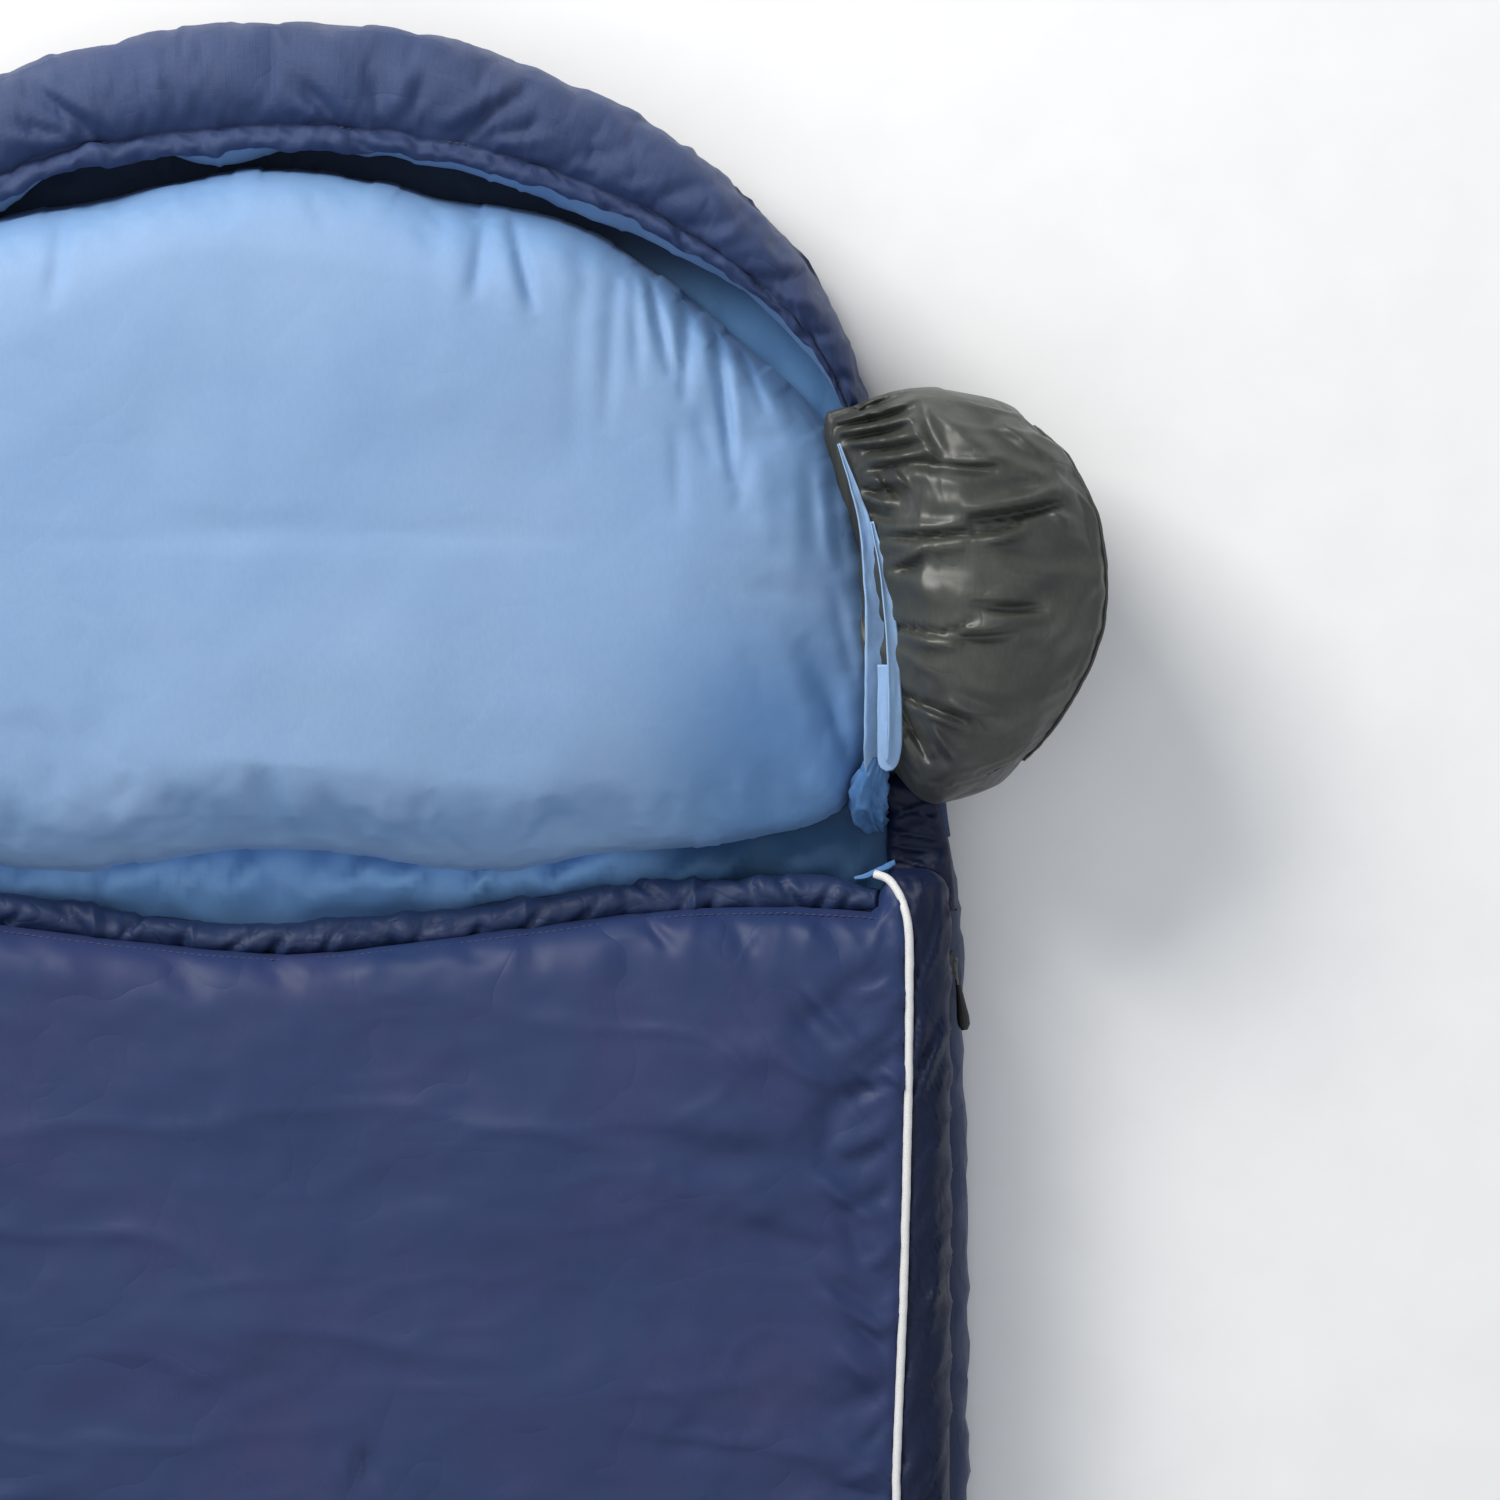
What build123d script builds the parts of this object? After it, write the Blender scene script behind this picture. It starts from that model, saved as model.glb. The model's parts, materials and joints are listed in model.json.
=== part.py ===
from build123d import *
import math
import os

# Rectangular sleeping bag with an arched hood, a stuffed pillow pocket and a sewn-on stuff sack.
# Frame: millimetres, +Z up, the bag lies flat on its back on the plane z = 0.
# +Y points to the head, -Y to the foot, +X is the zip side. Origin: middle of the underside.
# Fabric skins are drawn as closed shells round their filling, with a small gap between neighbours.

# ---------------------------------------------------------------- driving dimensions
LENGTH = 2200.0          # crown of the hood to the foot
WIDTH = 800.0            # across the body
Y_CROWN = LENGTH / 2
Y_FOOT = -LENGTH / 2
HALF = WIDTH / 2
FOOT_R = 70.0            # plan radius of the two foot corners
Z_MID = 55.0             # level of the zip and of the left seam, which is the cover's hinge line
Y_NECK = 615.0           # line where the hood meets the body
Z_NECK = 52.0            # level of the hood's fold line
NECK_GAP = 0.4           # half the gap between body and hood solids
Z_LOW_RIM = 48.5         # top edge of the lower shell's side wall
Z_UP_RIM = 61.5          # bottom edge of the cover's side wall
Z_COVER = 109.0          # top of the cover
SKIN = 1.5               # thickness drawn for a shell
CLEAR = 1.0              # clearance between a skin and its filling
LINING_T = 1.4

ZIP_OFF = 14.0           # zip plane, inside the widest outline
TAPE_T = 0.6
COIL_U0, COIL_U1 = 0.4, 2.8      # coil band, outward of the tape plane
COIL_W0, COIL_W1 = 0.6, 3.4      # coil band, above or below the zip line
TAPE_W0, TAPE_W1 = 1.4, 6.2
ZIP_Y_HEAD = 572.0       # head end of the side run
ZIP_X_END = -345.0       # left end of the foot run
SLIDER_L = 18.0
SIDE_SLIDER_Y = 556.0    # rest place of the side slider
FOOT_SLIDER_X = -318.0   # rest place of the foot slider

PIPING_R = 2.5
CORD_R = 1.2
TAIL_R = 1.6

HOOD_HALF = [(392, Y_NECK), (384, 655), (375, 725), (365, 790), (352, 855), (341, 892),
             (323, 940), (289, 987), (254, 1018), (220, 1041), (185, 1060), (151, 1074),
             (100, 1089), (50, 1097)]
# stations of the padded rim: outline point, band width, height above the lining
RIM_HALF = [((389, 628), 26, 6.0), ((384, 655), 28, 8.0), ((375, 725), 29, 8.0),
            ((365, 790), 29, 8.0), ((352, 855), 30, 8.0), ((345, 876), 32, 12.0),
            ((341, 892), 36, 24.0), ((323, 940), 46, 45.0), ((289, 987), 58, 58.0),
            ((254, 1018), 66, 62.0), ((220, 1041), 68, 62.0), ((185, 1060), 69, 62.0),
            ((151, 1074), 69, 62.0), ((100, 1089), 70, 62.0), ((50, 1097), 70, 62.0)]
PILLOW_HALF = [(327, 640), (341, 676), (353, 712), (351, 767), (341, 802), (331, 842),
               (314, 877), (256, 928), (210, 963), (164, 989), (100, 1006), (50, 1015)]
PILLOW_LOW = [(294, 636), (220, 632), (110, 630), (0, 630)]


def head_edge(x):
    """y of the cover's head edge: a shallow scoop, lowest in the middle."""
    t = min(1.0, abs(x) / 300.0)
    return 577.0 + 27.0 * t * t * (3 - 2 * t)


# ---------------------------------------------------------------- solid builders
def flat_face(points):
    return Face(Wire.make_polygon([Vector(*p) for p in points], close=True))


def is_flat(q):
    a, b, c, d = [Vector(*p) for p in q]
    n = (b - a).cross(c - a)
    return n.length < 1e-9 or abs(n.dot(d - a)) / n.length < 1e-6


def same(p, q):
    return (Vector(*p) - Vector(*q)).length < 1e-6


def band(r0, r1, faces):
    n = len(r0)
    for i in range(n):
        j = (i + 1) % n
        q = [r0[i], r0[j], r1[j], r1[i]]
        if is_flat(q):
            faces.append(flat_face(q))
        else:
            faces.append(flat_face([q[0], q[1], q[2]]))
            faces.append(flat_face([q[0], q[2], q[3]]))


def stack(rings):
    """Closed solid through rings of equal point count, capped at both ends."""
    for _ in range(2):
        faces = [flat_face(list(reversed(rings[0])))]
        for r0, r1 in zip(rings, rings[1:]):
            band(r0, r1, faces)
        faces.append(flat_face(rings[-1]))
        s = Solid(Shell(faces))
        if s.volume > 0:
            return s
        rings = [list(reversed(r)) for r in rings]
    return s


def tube(outer, inner):
    """Open-ended skin between an outer and an inner run of rings."""
    loop = list(outer) + list(reversed(inner))
    for _ in range(2):
        faces = []
        for k in range(len(loop)):
            band(loop[k], loop[(k + 1) % len(loop)], faces)
        s = Solid(Shell(faces))
        if s.volume > 0:
            return s
        loop = [list(reversed(r)) for r in loop]
    return s


def shrink(profile, d):
    """Closed 2-D profile moved inwards by d, edge by edge."""
    n = len(profile)
    area = sum(profile[i][0] * profile[(i + 1) % n][1] - profile[(i + 1) % n][0] * profile[i][1]
               for i in range(n))
    side = 1.0 if area > 0 else -1.0
    lines = []
    for i in range(n):
        (x0, y0), (x1, y1) = profile[i], profile[(i + 1) % n]
        length = math.hypot(x1 - x0, y1 - y0)
        nx, ny = -(y1 - y0) / length * side, (x1 - x0) / length * side
        lines.append((x0 + nx * d, y0 + ny * d, (x1 - x0) / length, (y1 - y0) / length))
    out = []
    for i in range(n):
        ax, ay, adx, ady = lines[i - 1]
        bx, by, bdx, bdy = lines[i]
        cross = adx * bdy - ady * bdx
        if abs(cross) < 1e-6:
            out.append((bx, by))
        else:
            t = ((bx - ax) * bdy - (by - ay) * bdx) / cross
            out.append((ax + adx * t, ay + ady * t))
    return out


# ---------------------------------------------------------------- outlines
def body_ring(z, right, left, foot, y_head=Y_NECK - NECK_GAP):
    """Plan outline of the rectangular body at height z, inset on each side."""
    pts = [(392.0 - right, y_head), (HALF - right, 560.0)]
    for k in range(7):
        a = math.radians(15.0 * k)
        pts.append((HALF - FOOT_R + (FOOT_R - right) * math.cos(a),
                    Y_FOOT + FOOT_R - (FOOT_R - foot) * math.sin(a)))
    for k in range(6, -1, -1):
        a = math.radians(15.0 * k)
        pts.append((-(HALF - FOOT_R) - (FOOT_R - left) * math.cos(a),
                    Y_FOOT + FOOT_R - (FOOT_R - foot) * math.sin(a)))
    pts += [(-(HALF - left), 560.0), (-(392.0 - left), y_head)]
    return [(x, y, z) for x, y in pts]


def inset(points, k, d):
    """Point k of an open run moved inwards by d along its normal."""
    a = points[max(k - 1, 0)]
    b = points[min(k + 1, len(points) - 1)]
    tx, ty = b[0] - a[0], b[1] - a[1]
    length = math.hypot(tx, ty)
    return points[k][0] - ty / length * d, points[k][1] + tx / length * d


HOOD_FULL = HOOD_HALF + [(0.0, Y_CROWN)] + [(-x, y) for x, y in reversed(HOOD_HALF)]


def hood_ring(z, d):
    pts = []
    last = len(HOOD_FULL) - 1
    for k in range(len(HOOD_FULL)):
        x, y = inset(HOOD_FULL, k, d)
        if k == 0:
            x, y = 392.0 - d, Y_NECK + NECK_GAP
        if k == last:
            x, y = -(392.0 - d), Y_NECK + NECK_GAP
        pts.append((x, y, z))
    return pts


def tray(rings_out, rings_in):
    """Open tray: outer skin up, over the edge, inner skin down."""
    return stack(list(rings_out) + list(rings_in))


parts = {}

# ---------------------------------------------------------------- lower quilt (body)
LOW = [(0.0, 16.0, 14.0), (14.0, 0.0, 7.0), (30.0, 0.0, 2.5), (Z_LOW_RIM, 12.5, 0.6)]


def low_rings(extra, z_shift=0.0, top=None, y_extra=0.0):
    rings = []
    for z, r, left in LOW:
        zz = z + z_shift if z == 0.0 else z
        if z == Z_LOW_RIM and top is not None:
            zz = top
        rings.append(body_ring(zz, r + extra, left + extra, r + extra,
                               Y_NECK - NECK_GAP - y_extra))
    return rings


outer = low_rings(0.0)
inner = list(reversed(low_rings(SKIN, SKIN, y_extra=SKIN)))
parts["bottom_shell"] = tray(outer, inner)
parts["bottom_insulation"] = stack(low_rings(SKIN + CLEAR, SKIN + CLEAR, Z_LOW_RIM, SKIN + CLEAR))
parts["bottom_lining"] = stack([body_ring(z, 17.5, 2.2, 17.5) for z in
                                (Z_LOW_RIM + 0.3, Z_LOW_RIM + 0.3 + LINING_T)])

# ---------------------------------------------------------------- hood back layer
HLOW = [(0.0, 16.0), (14.0, 0.0), (30.0, 0.0), (Z_LOW_RIM, 8.0)]


def hood_rings(extra, z_shift=0.0, y_extra=0.0):
    rings = []
    for z, d in HLOW:
        ring = hood_ring(z + (z_shift if z == 0.0 else 0.0), d + extra)
        if y_extra:
            ring = [(x, y + (y_extra if k in (0, len(ring) - 1) else 0.0), zz)
                    for k, (x, y, zz) in enumerate(ring)]
        rings.append(ring)
    return rings


parts["hood_back_shell"] = tray(hood_rings(0.0), list(reversed(hood_rings(SKIN, SKIN, SKIN))))
parts["hood_insulation"] = stack(hood_rings(SKIN + CLEAR, SKIN + CLEAR, SKIN + CLEAR))
parts["hood_lining"] = stack([hood_ring(z, 12.0) for z in
                              (Z_LOW_RIM + 0.3, Z_LOW_RIM + 0.3 + LINING_T)])

# ---------------------------------------------------------------- hood rim
RIM_FULL = RIM_HALF + [((0.0, Y_CROWN), 70, 62.0)] + \
    [((-p[0], p[1]), w, h) for p, w, h in reversed(RIM_HALF)]
RIM_PTS = [p for p, _, _ in RIM_FULL]
Z_RIM = Z_LOW_RIM + 0.3 + LINING_T + 0.4
HEM = 13.0


def rim_ring(k, d_in, fill=False):
    _, w, h = RIM_FULL[k]
    body = w - HEM
    prof = [(body, 0.0), (body, 0.88 * h), (body * 0.55, h), (8.0, 0.78 * h), (3.5, 0.30 * h), (7.0, 0.0)]
    if fill:
        f = 1.0 - min(0.75, 10.0 / h)
        cd, cz = sum(p[0] for p in prof) / 6, sum(p[1] for p in prof) / 6
        prof = [(cd + (d - cd) * f, cz + (z - cz) * f) for d, z in prof]
    ring = []
    for d, z in shrink(prof, d_in) if d_in else prof:
        x, y = inset(RIM_PTS, k, d)
        if k in (0, len(RIM_FULL) - 1):
            y = RIM_PTS[k][1]
        ring.append((x, y, Z_RIM + z))
    return ring


stations = range(len(RIM_FULL))
parts["hood_rim_shell"] = tube([rim_ring(k, 0.0) for k in stations], [rim_ring(k, 1.0) for k in stations])
parts["hood_rim_fill"] = stack([rim_ring(k, 0.0, True) for k in stations])


def hem_ring(k, shrink):
    _, w, h = RIM_FULL[k]
    hc = min(9.0, 0.74 * h)
    base = Z_RIM + (0.12 * h if h < 10 else 0.86 * h - hc)
    prof = [(w - HEM + 0.5 + shrink, base + shrink), (w - HEM + 0.5 + shrink, base + hc - shrink),
            (w - shrink, base + hc - shrink), (w - shrink, base + shrink)]
    ring = []
    for d, z in prof:
        x, y = inset(RIM_PTS, k, d)
        if k in (0, len(RIM_FULL) - 1):
            y = RIM_PTS[k][1]
        ring.append((x, y, z))
    return ring


hem_st = list(range(1, len(RIM_FULL) - 1))
parts["hood_hem_channel"] = tube([hem_ring(k, 0.0) for k in hem_st],
                                 [hem_ring(k, 0.8) for k in hem_st])


def centre(ring):
    n = len(ring)
    return tuple(sum(p[i] for p in ring) / n for i in range(3))


def bar_ring(points, k, r):
    """Six-sided cross-section of a cord at point k of a run."""
    a = Vector(*points[max(k - 1, 0)])
    b = Vector(*points[min(k + 1, len(points) - 1)])
    t = (b - a).normalized()
    up = Vector(0, 0, 1)
    if abs(t.dot(up)) > 0.9:
        up = Vector(1, 0, 0)
    s = t.cross(up).normalized()
    u = s.cross(t).normalized()
    c = Vector(*points[k])
    ring = []
    for i in range(6):
        a6 = math.radians(60 * i + 30)
        p = c + s * (r * math.cos(a6)) + u * (r * math.sin(a6))
        ring.append((p.X, p.Y, p.Z))
    return ring


def cord(points, r):
    return stack([bar_ring(points, k, r) for k in range(len(points))])


hood_cord_pts = [centre(hem_ring(k, 0.0)) for k in hem_st]
HOOD_TAIL_X, HOOD_TAIL_Z = -363.0, 67.0
hood_tail = [(HOOD_TAIL_X, 775.0, HOOD_TAIL_Z), (HOOD_TAIL_X, 660.0, HOOD_TAIL_Z)]
parts["hood_drawcord"] = Compound([cord(hood_cord_pts, CORD_R), cord(hood_tail, TAIL_R)])

# ---------------------------------------------------------------- pillow pocket
PILLOW = PILLOW_HALF + [(0.0, 1018.0)] + [(-x, y) for x, y in reversed(PILLOW_HALF)] + \
    [(-x, y) for x, y in PILLOW_LOW[:-1]] + [PILLOW_LOW[-1]] + \
    [(x, y) for x, y in reversed(PILLOW_LOW[:-1])]


def pillow_ring(z, side, low, extra=0.0):
    """Pillow outline at height z, drawn in by side all round and by low along the neck edge."""
    sx = (353.0 - side - extra) / 353.0
    y0, y1 = 630.0 + low + extra, 1018.0 - side - extra
    return [(x * sx, y0 + (y - 630.0) * (y1 - y0) / 388.0, z) for x, y in PILLOW]


PZ = [(50.8, 22.0, 0.0), (75.0, 4.0, 4.0), (96.0, 0.0, 16.0), (120.0, 24.0, 36.0),
      (138.0, 62.0, 62.0), (146.0, 112.0, 96.0)]
p_out = [pillow_ring(*row) for row in PZ]
p_in = [pillow_ring(z - (1.2 if z > 60 else 0.0), s, lo, 1.4) for z, s, lo in PZ]
parts["pillow_cover"] = stack(list(reversed(p_out)) + p_in)
parts["pillow_fill"] = stack([pillow_ring(z - (2.2 if z > 60 else 0.0), s, lo, 2.8)
                              for z, s, lo in PZ])
# doubled hem of the pocket mouth, a strip standing beside the pillow on the zip side
hem_pts = [(343.0, 690.0, 118.0), (349.0, 730.0, 124.0), (348.0, 770.0, 126.0), (342.0, 810.0, 124.0)]


def strip_ring(p, t, h):
    x, y, z = p
    return [(x - t / 2, y, z - h / 2), (x + t / 2, y, z - h / 2),
            (x + t / 2, y, z + h / 2), (x - t / 2, y, z + h / 2)]


parts["pocket_hem_strip"] = stack([strip_ring((x + 1.0, y, z), 1.6, 14.0) for x, y, z in hem_pts])

# ---------------------------------------------------------------- stuff sack
SACK_MOUTH_X = 358.5
SACK = [(SACK_MOUTH_X, 70.0, 31.0, 97.0), (377.0, 98.0, 43.0, 103.0), (393.0, 110.0, 62.0, 88.0),
        (430.0, 118.0, 71.0, 80.0), (462.0, 104.0, 62.0, 79.0), (474.0, 88.0, 52.0, 79.0)]
SACK_Y = 770.0
SACK_N = 20


def sack_ring(x, ry, rz, zc, extra=0.0):
    ring = []
    for k in range(SACK_N):
        a = 2 * math.pi * k / SACK_N
        ring.append((x, SACK_Y + (ry - extra) * math.cos(a), zc + (rz - extra) * math.sin(a)))
    return ring


parts["sack_shell"] = tube([sack_ring(x, ry, rz, zc) for x, ry, rz, zc in SACK],
                           [sack_ring(x, ry, rz, zc, 1.3) for x, ry, rz, zc in SACK])
fill_rows = [(x + (1.0 if k == 0 else 0.0), ry, rz, zc) for k, (x, ry, rz, zc) in enumerate(SACK)]
parts["sack_stuffing"] = stack([sack_ring(x, ry, rz, zc, 3.2) for x, ry, rz, zc in fill_rows])
parts["sack_base"] = stack([sack_ring(474.4, 88.0, 52.0, 79.0), sack_ring(478.5, 72.0, 41.0, 79.0),
                            sack_ring(480.5, 40.0, 22.0, 79.0)])
ring_o = [sack_ring(472.2, 94.2, 57.0, 79.0), sack_ring(475.6, 94.2, 57.0, 79.0)]
ring_i = [sack_ring(472.2, 91.4, 54.8, 79.0), sack_ring(475.6, 91.4, 54.8, 79.0)]
parts["sack_base_piping"] = tube(ring_o, ring_i)
parts["sack_mouth_binding"] = tube(
    [sack_ring(356.2, 71.0, 32.0, 97.0), sack_ring(358.2, 71.0, 32.0, 97.0)],
    [sack_ring(356.2, 68.0, 29.0, 97.0), sack_ring(358.2, 68.0, 29.0, 97.0)])

# ---------------------------------------------------------------- cover (upper quilt)
UP = [(Z_UP_RIM, 12.5, 0.6), (80.0, 10.5, 4.0), (98.0, 28.0, 14.0), (104.0, 47.0, 26.0),
      (Z_COVER, 62.0, 44.0)]
COLLAR_W = 19.0
HEAD_BACK = [2.0, 0.0, 10.0, 20.0, 34.0]
COLLAR_X = [-318.0, -250.0, -190.0, -120.0, -60.0, 0.0, 60.0, 120.0, 190.0, 250.0, 318.0]


def cover_ring(z, right, left, foot, back, plain=False):
    ring = body_ring(z, right, left, foot, 560.0)[2:-2]
    xr = HALF - right
    xl = -(HALF - left)
    setback = 0.0 if plain else COLLAR_W + 1.0
    head = []
    for x in COLLAR_X:
        y = head_edge(x) - setback - back
        head.append((x, y, z))
    corner = head_edge(400.0) - back - (0.0 if plain else 2.0)
    left_pts = [(xl, corner - 30.0 - back * 0.3, z)]
    right_pts = [(xr, corner - 30.0 - back * 0.3, z)]
    # shell corners beside the collar tunnel stand a little further forward
    return ring + left_pts + head + right_pts


def cover_rings(extra, low_z, top_drop):
    rings = []
    for k, (z, r, left) in enumerate(UP):
        zz = z
        if k == 0:
            zz = low_z
        if k == len(UP) - 1:
            zz = z - top_drop
        rings.append(cover_ring(zz, r + extra, left + extra, r + extra, HEAD_BACK[k] + extra))
    return rings


parts["cover_shell"] = stack(list(reversed(cover_rings(0.0, Z_UP_RIM, 0.0))) +
                             cover_rings(SKIN, Z_UP_RIM, SKIN))
parts["cover_insulation"] = stack(cover_rings(SKIN + CLEAR, Z_UP_RIM, SKIN + CLEAR))
parts["cover_lining"] = stack([cover_ring(z, 17.5, 2.2, 17.5, 4.0) for z in
                               (Z_UP_RIM - 0.3 - LINING_T, Z_UP_RIM - 0.3)])

# collar tunnel along the head edge, with its drawcord


def collar_ring(x, shrink):
    y = head_edge(x)
    y0, y1 = y - COLLAR_W + shrink, y - 3.0 - shrink
    z0, z1 = 64.0 + shrink, 80.0 - shrink
    return [(x, y0, z0), (x, y1 - 2.0, z0), (x, y1, (z0 + z1) / 2), (x, y1 - 3.0, z1), (x, y0, z1)]


parts["collar_channel"] = tube([collar_ring(x, 0.0) for x in COLLAR_X],
                               [collar_ring(x, 1.0) for x in COLLAR_X])
collar_cord_pts = [centre(collar_ring(x, 0.0)) for x in COLLAR_X[1:-1]]
COLLAR_TAIL_X, COLLAR_TAIL_Z = -290.0, 115.6
collar_tail = [(COLLAR_TAIL_X, 560.0, COLLAR_TAIL_Z), (COLLAR_TAIL_X, 440.0, COLLAR_TAIL_Z)]
parts["collar_drawcord"] = Compound([cord(collar_cord_pts, CORD_R), cord(collar_tail, TAIL_R)])

# white piping on the cover's edge above the zip: down the side, round the foot
PIPE_Z = 107.8
pipe_pts = [(338.0, 578.0, 104.6), (350.0, 573.0, 105.6), (357.0, 562.0, PIPE_Z), (360.0, 545.0, PIPE_Z)]
PIPE_IN = 40.0
pipe_pts += [(HALF - PIPE_IN, Y_FOOT + FOOT_R, PIPE_Z)]
for k in range(1, 7):
    a = math.radians(15.0 * k)
    pipe_pts.append((HALF - FOOT_R + (FOOT_R - PIPE_IN) * math.cos(a),
                     Y_FOOT + FOOT_R - (FOOT_R - PIPE_IN) * math.sin(a), PIPE_Z))
pipe_pts += [(-330.0, Y_FOOT + PIPE_IN, PIPE_Z)]


def clean_pipe(points, r, n=8):
    rings = []
    for k in range(len(points)):
        a = Vector(*points[max(k - 1, 0)])
        b = Vector(*points[min(k + 1, len(points) - 1)])
        t = (b - a).normalized()
        s = t.cross(Vector(0, 0, 1)).normalized()
        u = s.cross(t).normalized()
        c = Vector(*points[k])
        ring = []
        for i in range(n):
            w = 2 * math.pi * (i + 0.5) / n
            p = c + s * (r * math.cos(w)) + u * (r * math.sin(w))
            ring.append((p.X, p.Y, p.Z))
        rings.append(ring)
    return stack(rings)


parts["edge_piping"] = clean_pipe(pipe_pts, PIPING_R)

# ---------------------------------------------------------------- zip
ZX = HALF - ZIP_OFF
ZY = Y_FOOT + ZIP_OFF


def zip_run(u, y_head=ZIP_Y_HEAD, x_end=ZIP_X_END):
    """Plan points of the zip line, moved outwards by u."""
    pts = [(ZX + u, y_head)]
    r = FOOT_R - ZIP_OFF + u
    for k in range(7):
        a = math.radians(15.0 * k)
        pts.append((HALF - FOOT_R + r * math.cos(a), Y_FOOT + FOOT_R - r * math.sin(a)))
    pts.append((x_end, ZY - u))
    return pts


def zip_strip(u0, u1, z0, z1, y_head=ZIP_Y_HEAD, x_end=ZIP_X_END):
    a, b = zip_run(u0, y_head, x_end), zip_run(u1, y_head, x_end)
    return stack([[(p[0], p[1], z0), (q[0], q[1], z0), (q[0], q[1], z1), (p[0], p[1], z1)]
                  for p, q in zip(a, b)])


for name, sign in (("lower", -1.0), ("upper", 1.0)):
    def zz(w):
        return Z_MID + sign * w
    lo, hi = sorted((zz(TAPE_W0), zz(TAPE_W1)))
    parts[f"zip_tape_{name}"] = zip_strip(-TAPE_T / 2, TAPE_T / 2, lo, hi, ZIP_Y_HEAD + 8.0)
    lo, hi = sorted((zz(COIL_W0), zz(COIL_W1)))
    parts[f"zip_coil_{name}"] = zip_strip(COIL_U0, COIL_U1, lo, hi)
    c = Z_MID + sign * 2.0
    head_stop = Pos(ZX + 1.6, ZIP_Y_HEAD + 2.6, c) * Box(2.4, 4.0, 2.6)
    end_stop = Pos(ZIP_X_END - 2.6, ZY - 1.6, c) * Box(4.0, 2.4, 2.6)
    parts[f"zip_stops_{name}"] = Compound([head_stop.solid(), end_stop.solid()])


def slider_solids():
    """Slider in its own frame: +X outwards, +Y towards the open end, Z across the chain."""
    back = Pos(-1.4, 0, 0) * Box(1.2, SLIDER_L, 12.0)
    front = Pos(3.9, 0, 0) * Box(1.4, SLIDER_L, 12.0)
    back = fillet(back.edges().filter_by(Axis.X), 2.6)
    front = fillet(front.edges().filter_by(Axis.X), 2.6)
    body = back + front
    for s in (-1, 1):
        body += Pos(2.1, -1.0, s * 4.5) * Box(2.4, 13.0, 1.4)
    body += Pos(1.2, 6.0, 0) * Box(4.2, 5.0, 0.8)
    arch = Pos(6.2, -0.5, 0) * Box(3.4, 11.0, 2.4)
    arch = fillet(arch.edges().filter_by(Axis.Z).group_by(Axis.X)[-1], 1.4)
    arch -= Pos(6.3, -0.5, 0) * Box(1.7, 7.4, 4.0)
    body += arch
    pin_u, pin_v = 6.3, 2.0
    tilt = 8.0
    # pull: pin through the arch, two arms, a cross bar that holds the grip
    pin = Pos(pin_u, pin_v, 0) * Cylinder(0.6, 4.4)
    arms = None
    for s in (-1, 1):
        arm = Pos(0, -6.2, s * 2.2) * Box(1.3, 13.4, 1.2)
        arm = fillet(arm.edges().filter_by(Axis.Z), 0.6)
        arms = arm if arms is None else arms + arm
    cross = Pos(0, -12.2, 0) * Box(1.3, 1.6, 5.6)
    frame = Pos(pin_u, pin_v, 0) * (Rot(0, 0, tilt) * (arms + cross))
    pull = frame + pin
    # grip: rubber drop moulded round the cross bar
    rows = [(-9.6, 1.5, 2.6), (-16.0, 1.8, 3.2), (-25.0, 2.8, 4.4), (-32.0, 3.7, 5.0),
            (-36.5, 3.6, 4.8), (-39.6, 1.8, 2.6)]
    rings = []
    for v, ru, rw in rows:
        ring = []
        for k in range(12):
            a = 2 * math.pi * k / 12
            ring.append((ru * math.cos(a), v, rw * math.sin(a)))
        rings.append(ring)
    grip = stack(rings)
    grip = Pos(pin_u, pin_v, 0) * (Rot(0, 0, tilt) * grip)
    room = Pos(0, -11.4, 0) * Box(1.7, 3.6, 6.2)
    slot = Pos(pin_u, pin_v, 0) * (Rot(0, 0, tilt) * room)
    grip = grip - slot
    return body, pull, grip


def biggest(shape):
    return max(shape.solids(), key=lambda s: s.volume)


s_body, s_pull, s_grip = slider_solids()
side_at = Pos(ZX, SIDE_SLIDER_Y, Z_MID)
foot_at = Pos(FOOT_SLIDER_X, ZY, Z_MID) * Rot(180, 0, 0) * Rot(0, 0, 90)
for name, place in (("side", side_at), ("foot", foot_at)):
    parts[f"{name}_slider"] = biggest(place * s_body)
    parts[f"{name}_pull"] = biggest(place * s_pull)
    parts[f"{name}_grip"] = biggest(place * s_grip)

# draft tube sewn to the cover's lining behind the zip
DRAFT = [(20.5, 55.3), (30.0, 51.4), (46.0, 51.4), (56.0, 55.3), (46.0, 59.2), (30.0, 59.2)]


def draft_run(u):
    pts = [(HALF - u, 560.0)]
    r = FOOT_R - u
    for k in range(7):
        a = math.radians(15.0 * k)
        pts.append((HALF - FOOT_R + r * math.cos(a), Y_FOOT + FOOT_R - r * math.sin(a)))
    pts.append((-330.0, Y_FOOT + u))
    return pts


runs = [(draft_run(u), z) for u, z in DRAFT]
parts["draft_tube"] = stack([[(pts[i][0], pts[i][1], z) for pts, z in runs]
                             for i in range(len(runs[0][0]))])

# left seam: binding strips on both quilts that meet on the hinge line
for name, z0, z1 in (("lower", Z_LOW_RIM + 0.3, Z_MID - 0.2), ("upper", Z_MID + 0.2, Z_UP_RIM - 0.3)):
    strip = Pos(-(HALF - 1.2), (560.0 - 1030.0) / 2, (z0 + z1) / 2) * Box(1.2, 1586.0, z1 - z0)
    parts[f"seam_binding_{name}"] = strip.solid()


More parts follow.
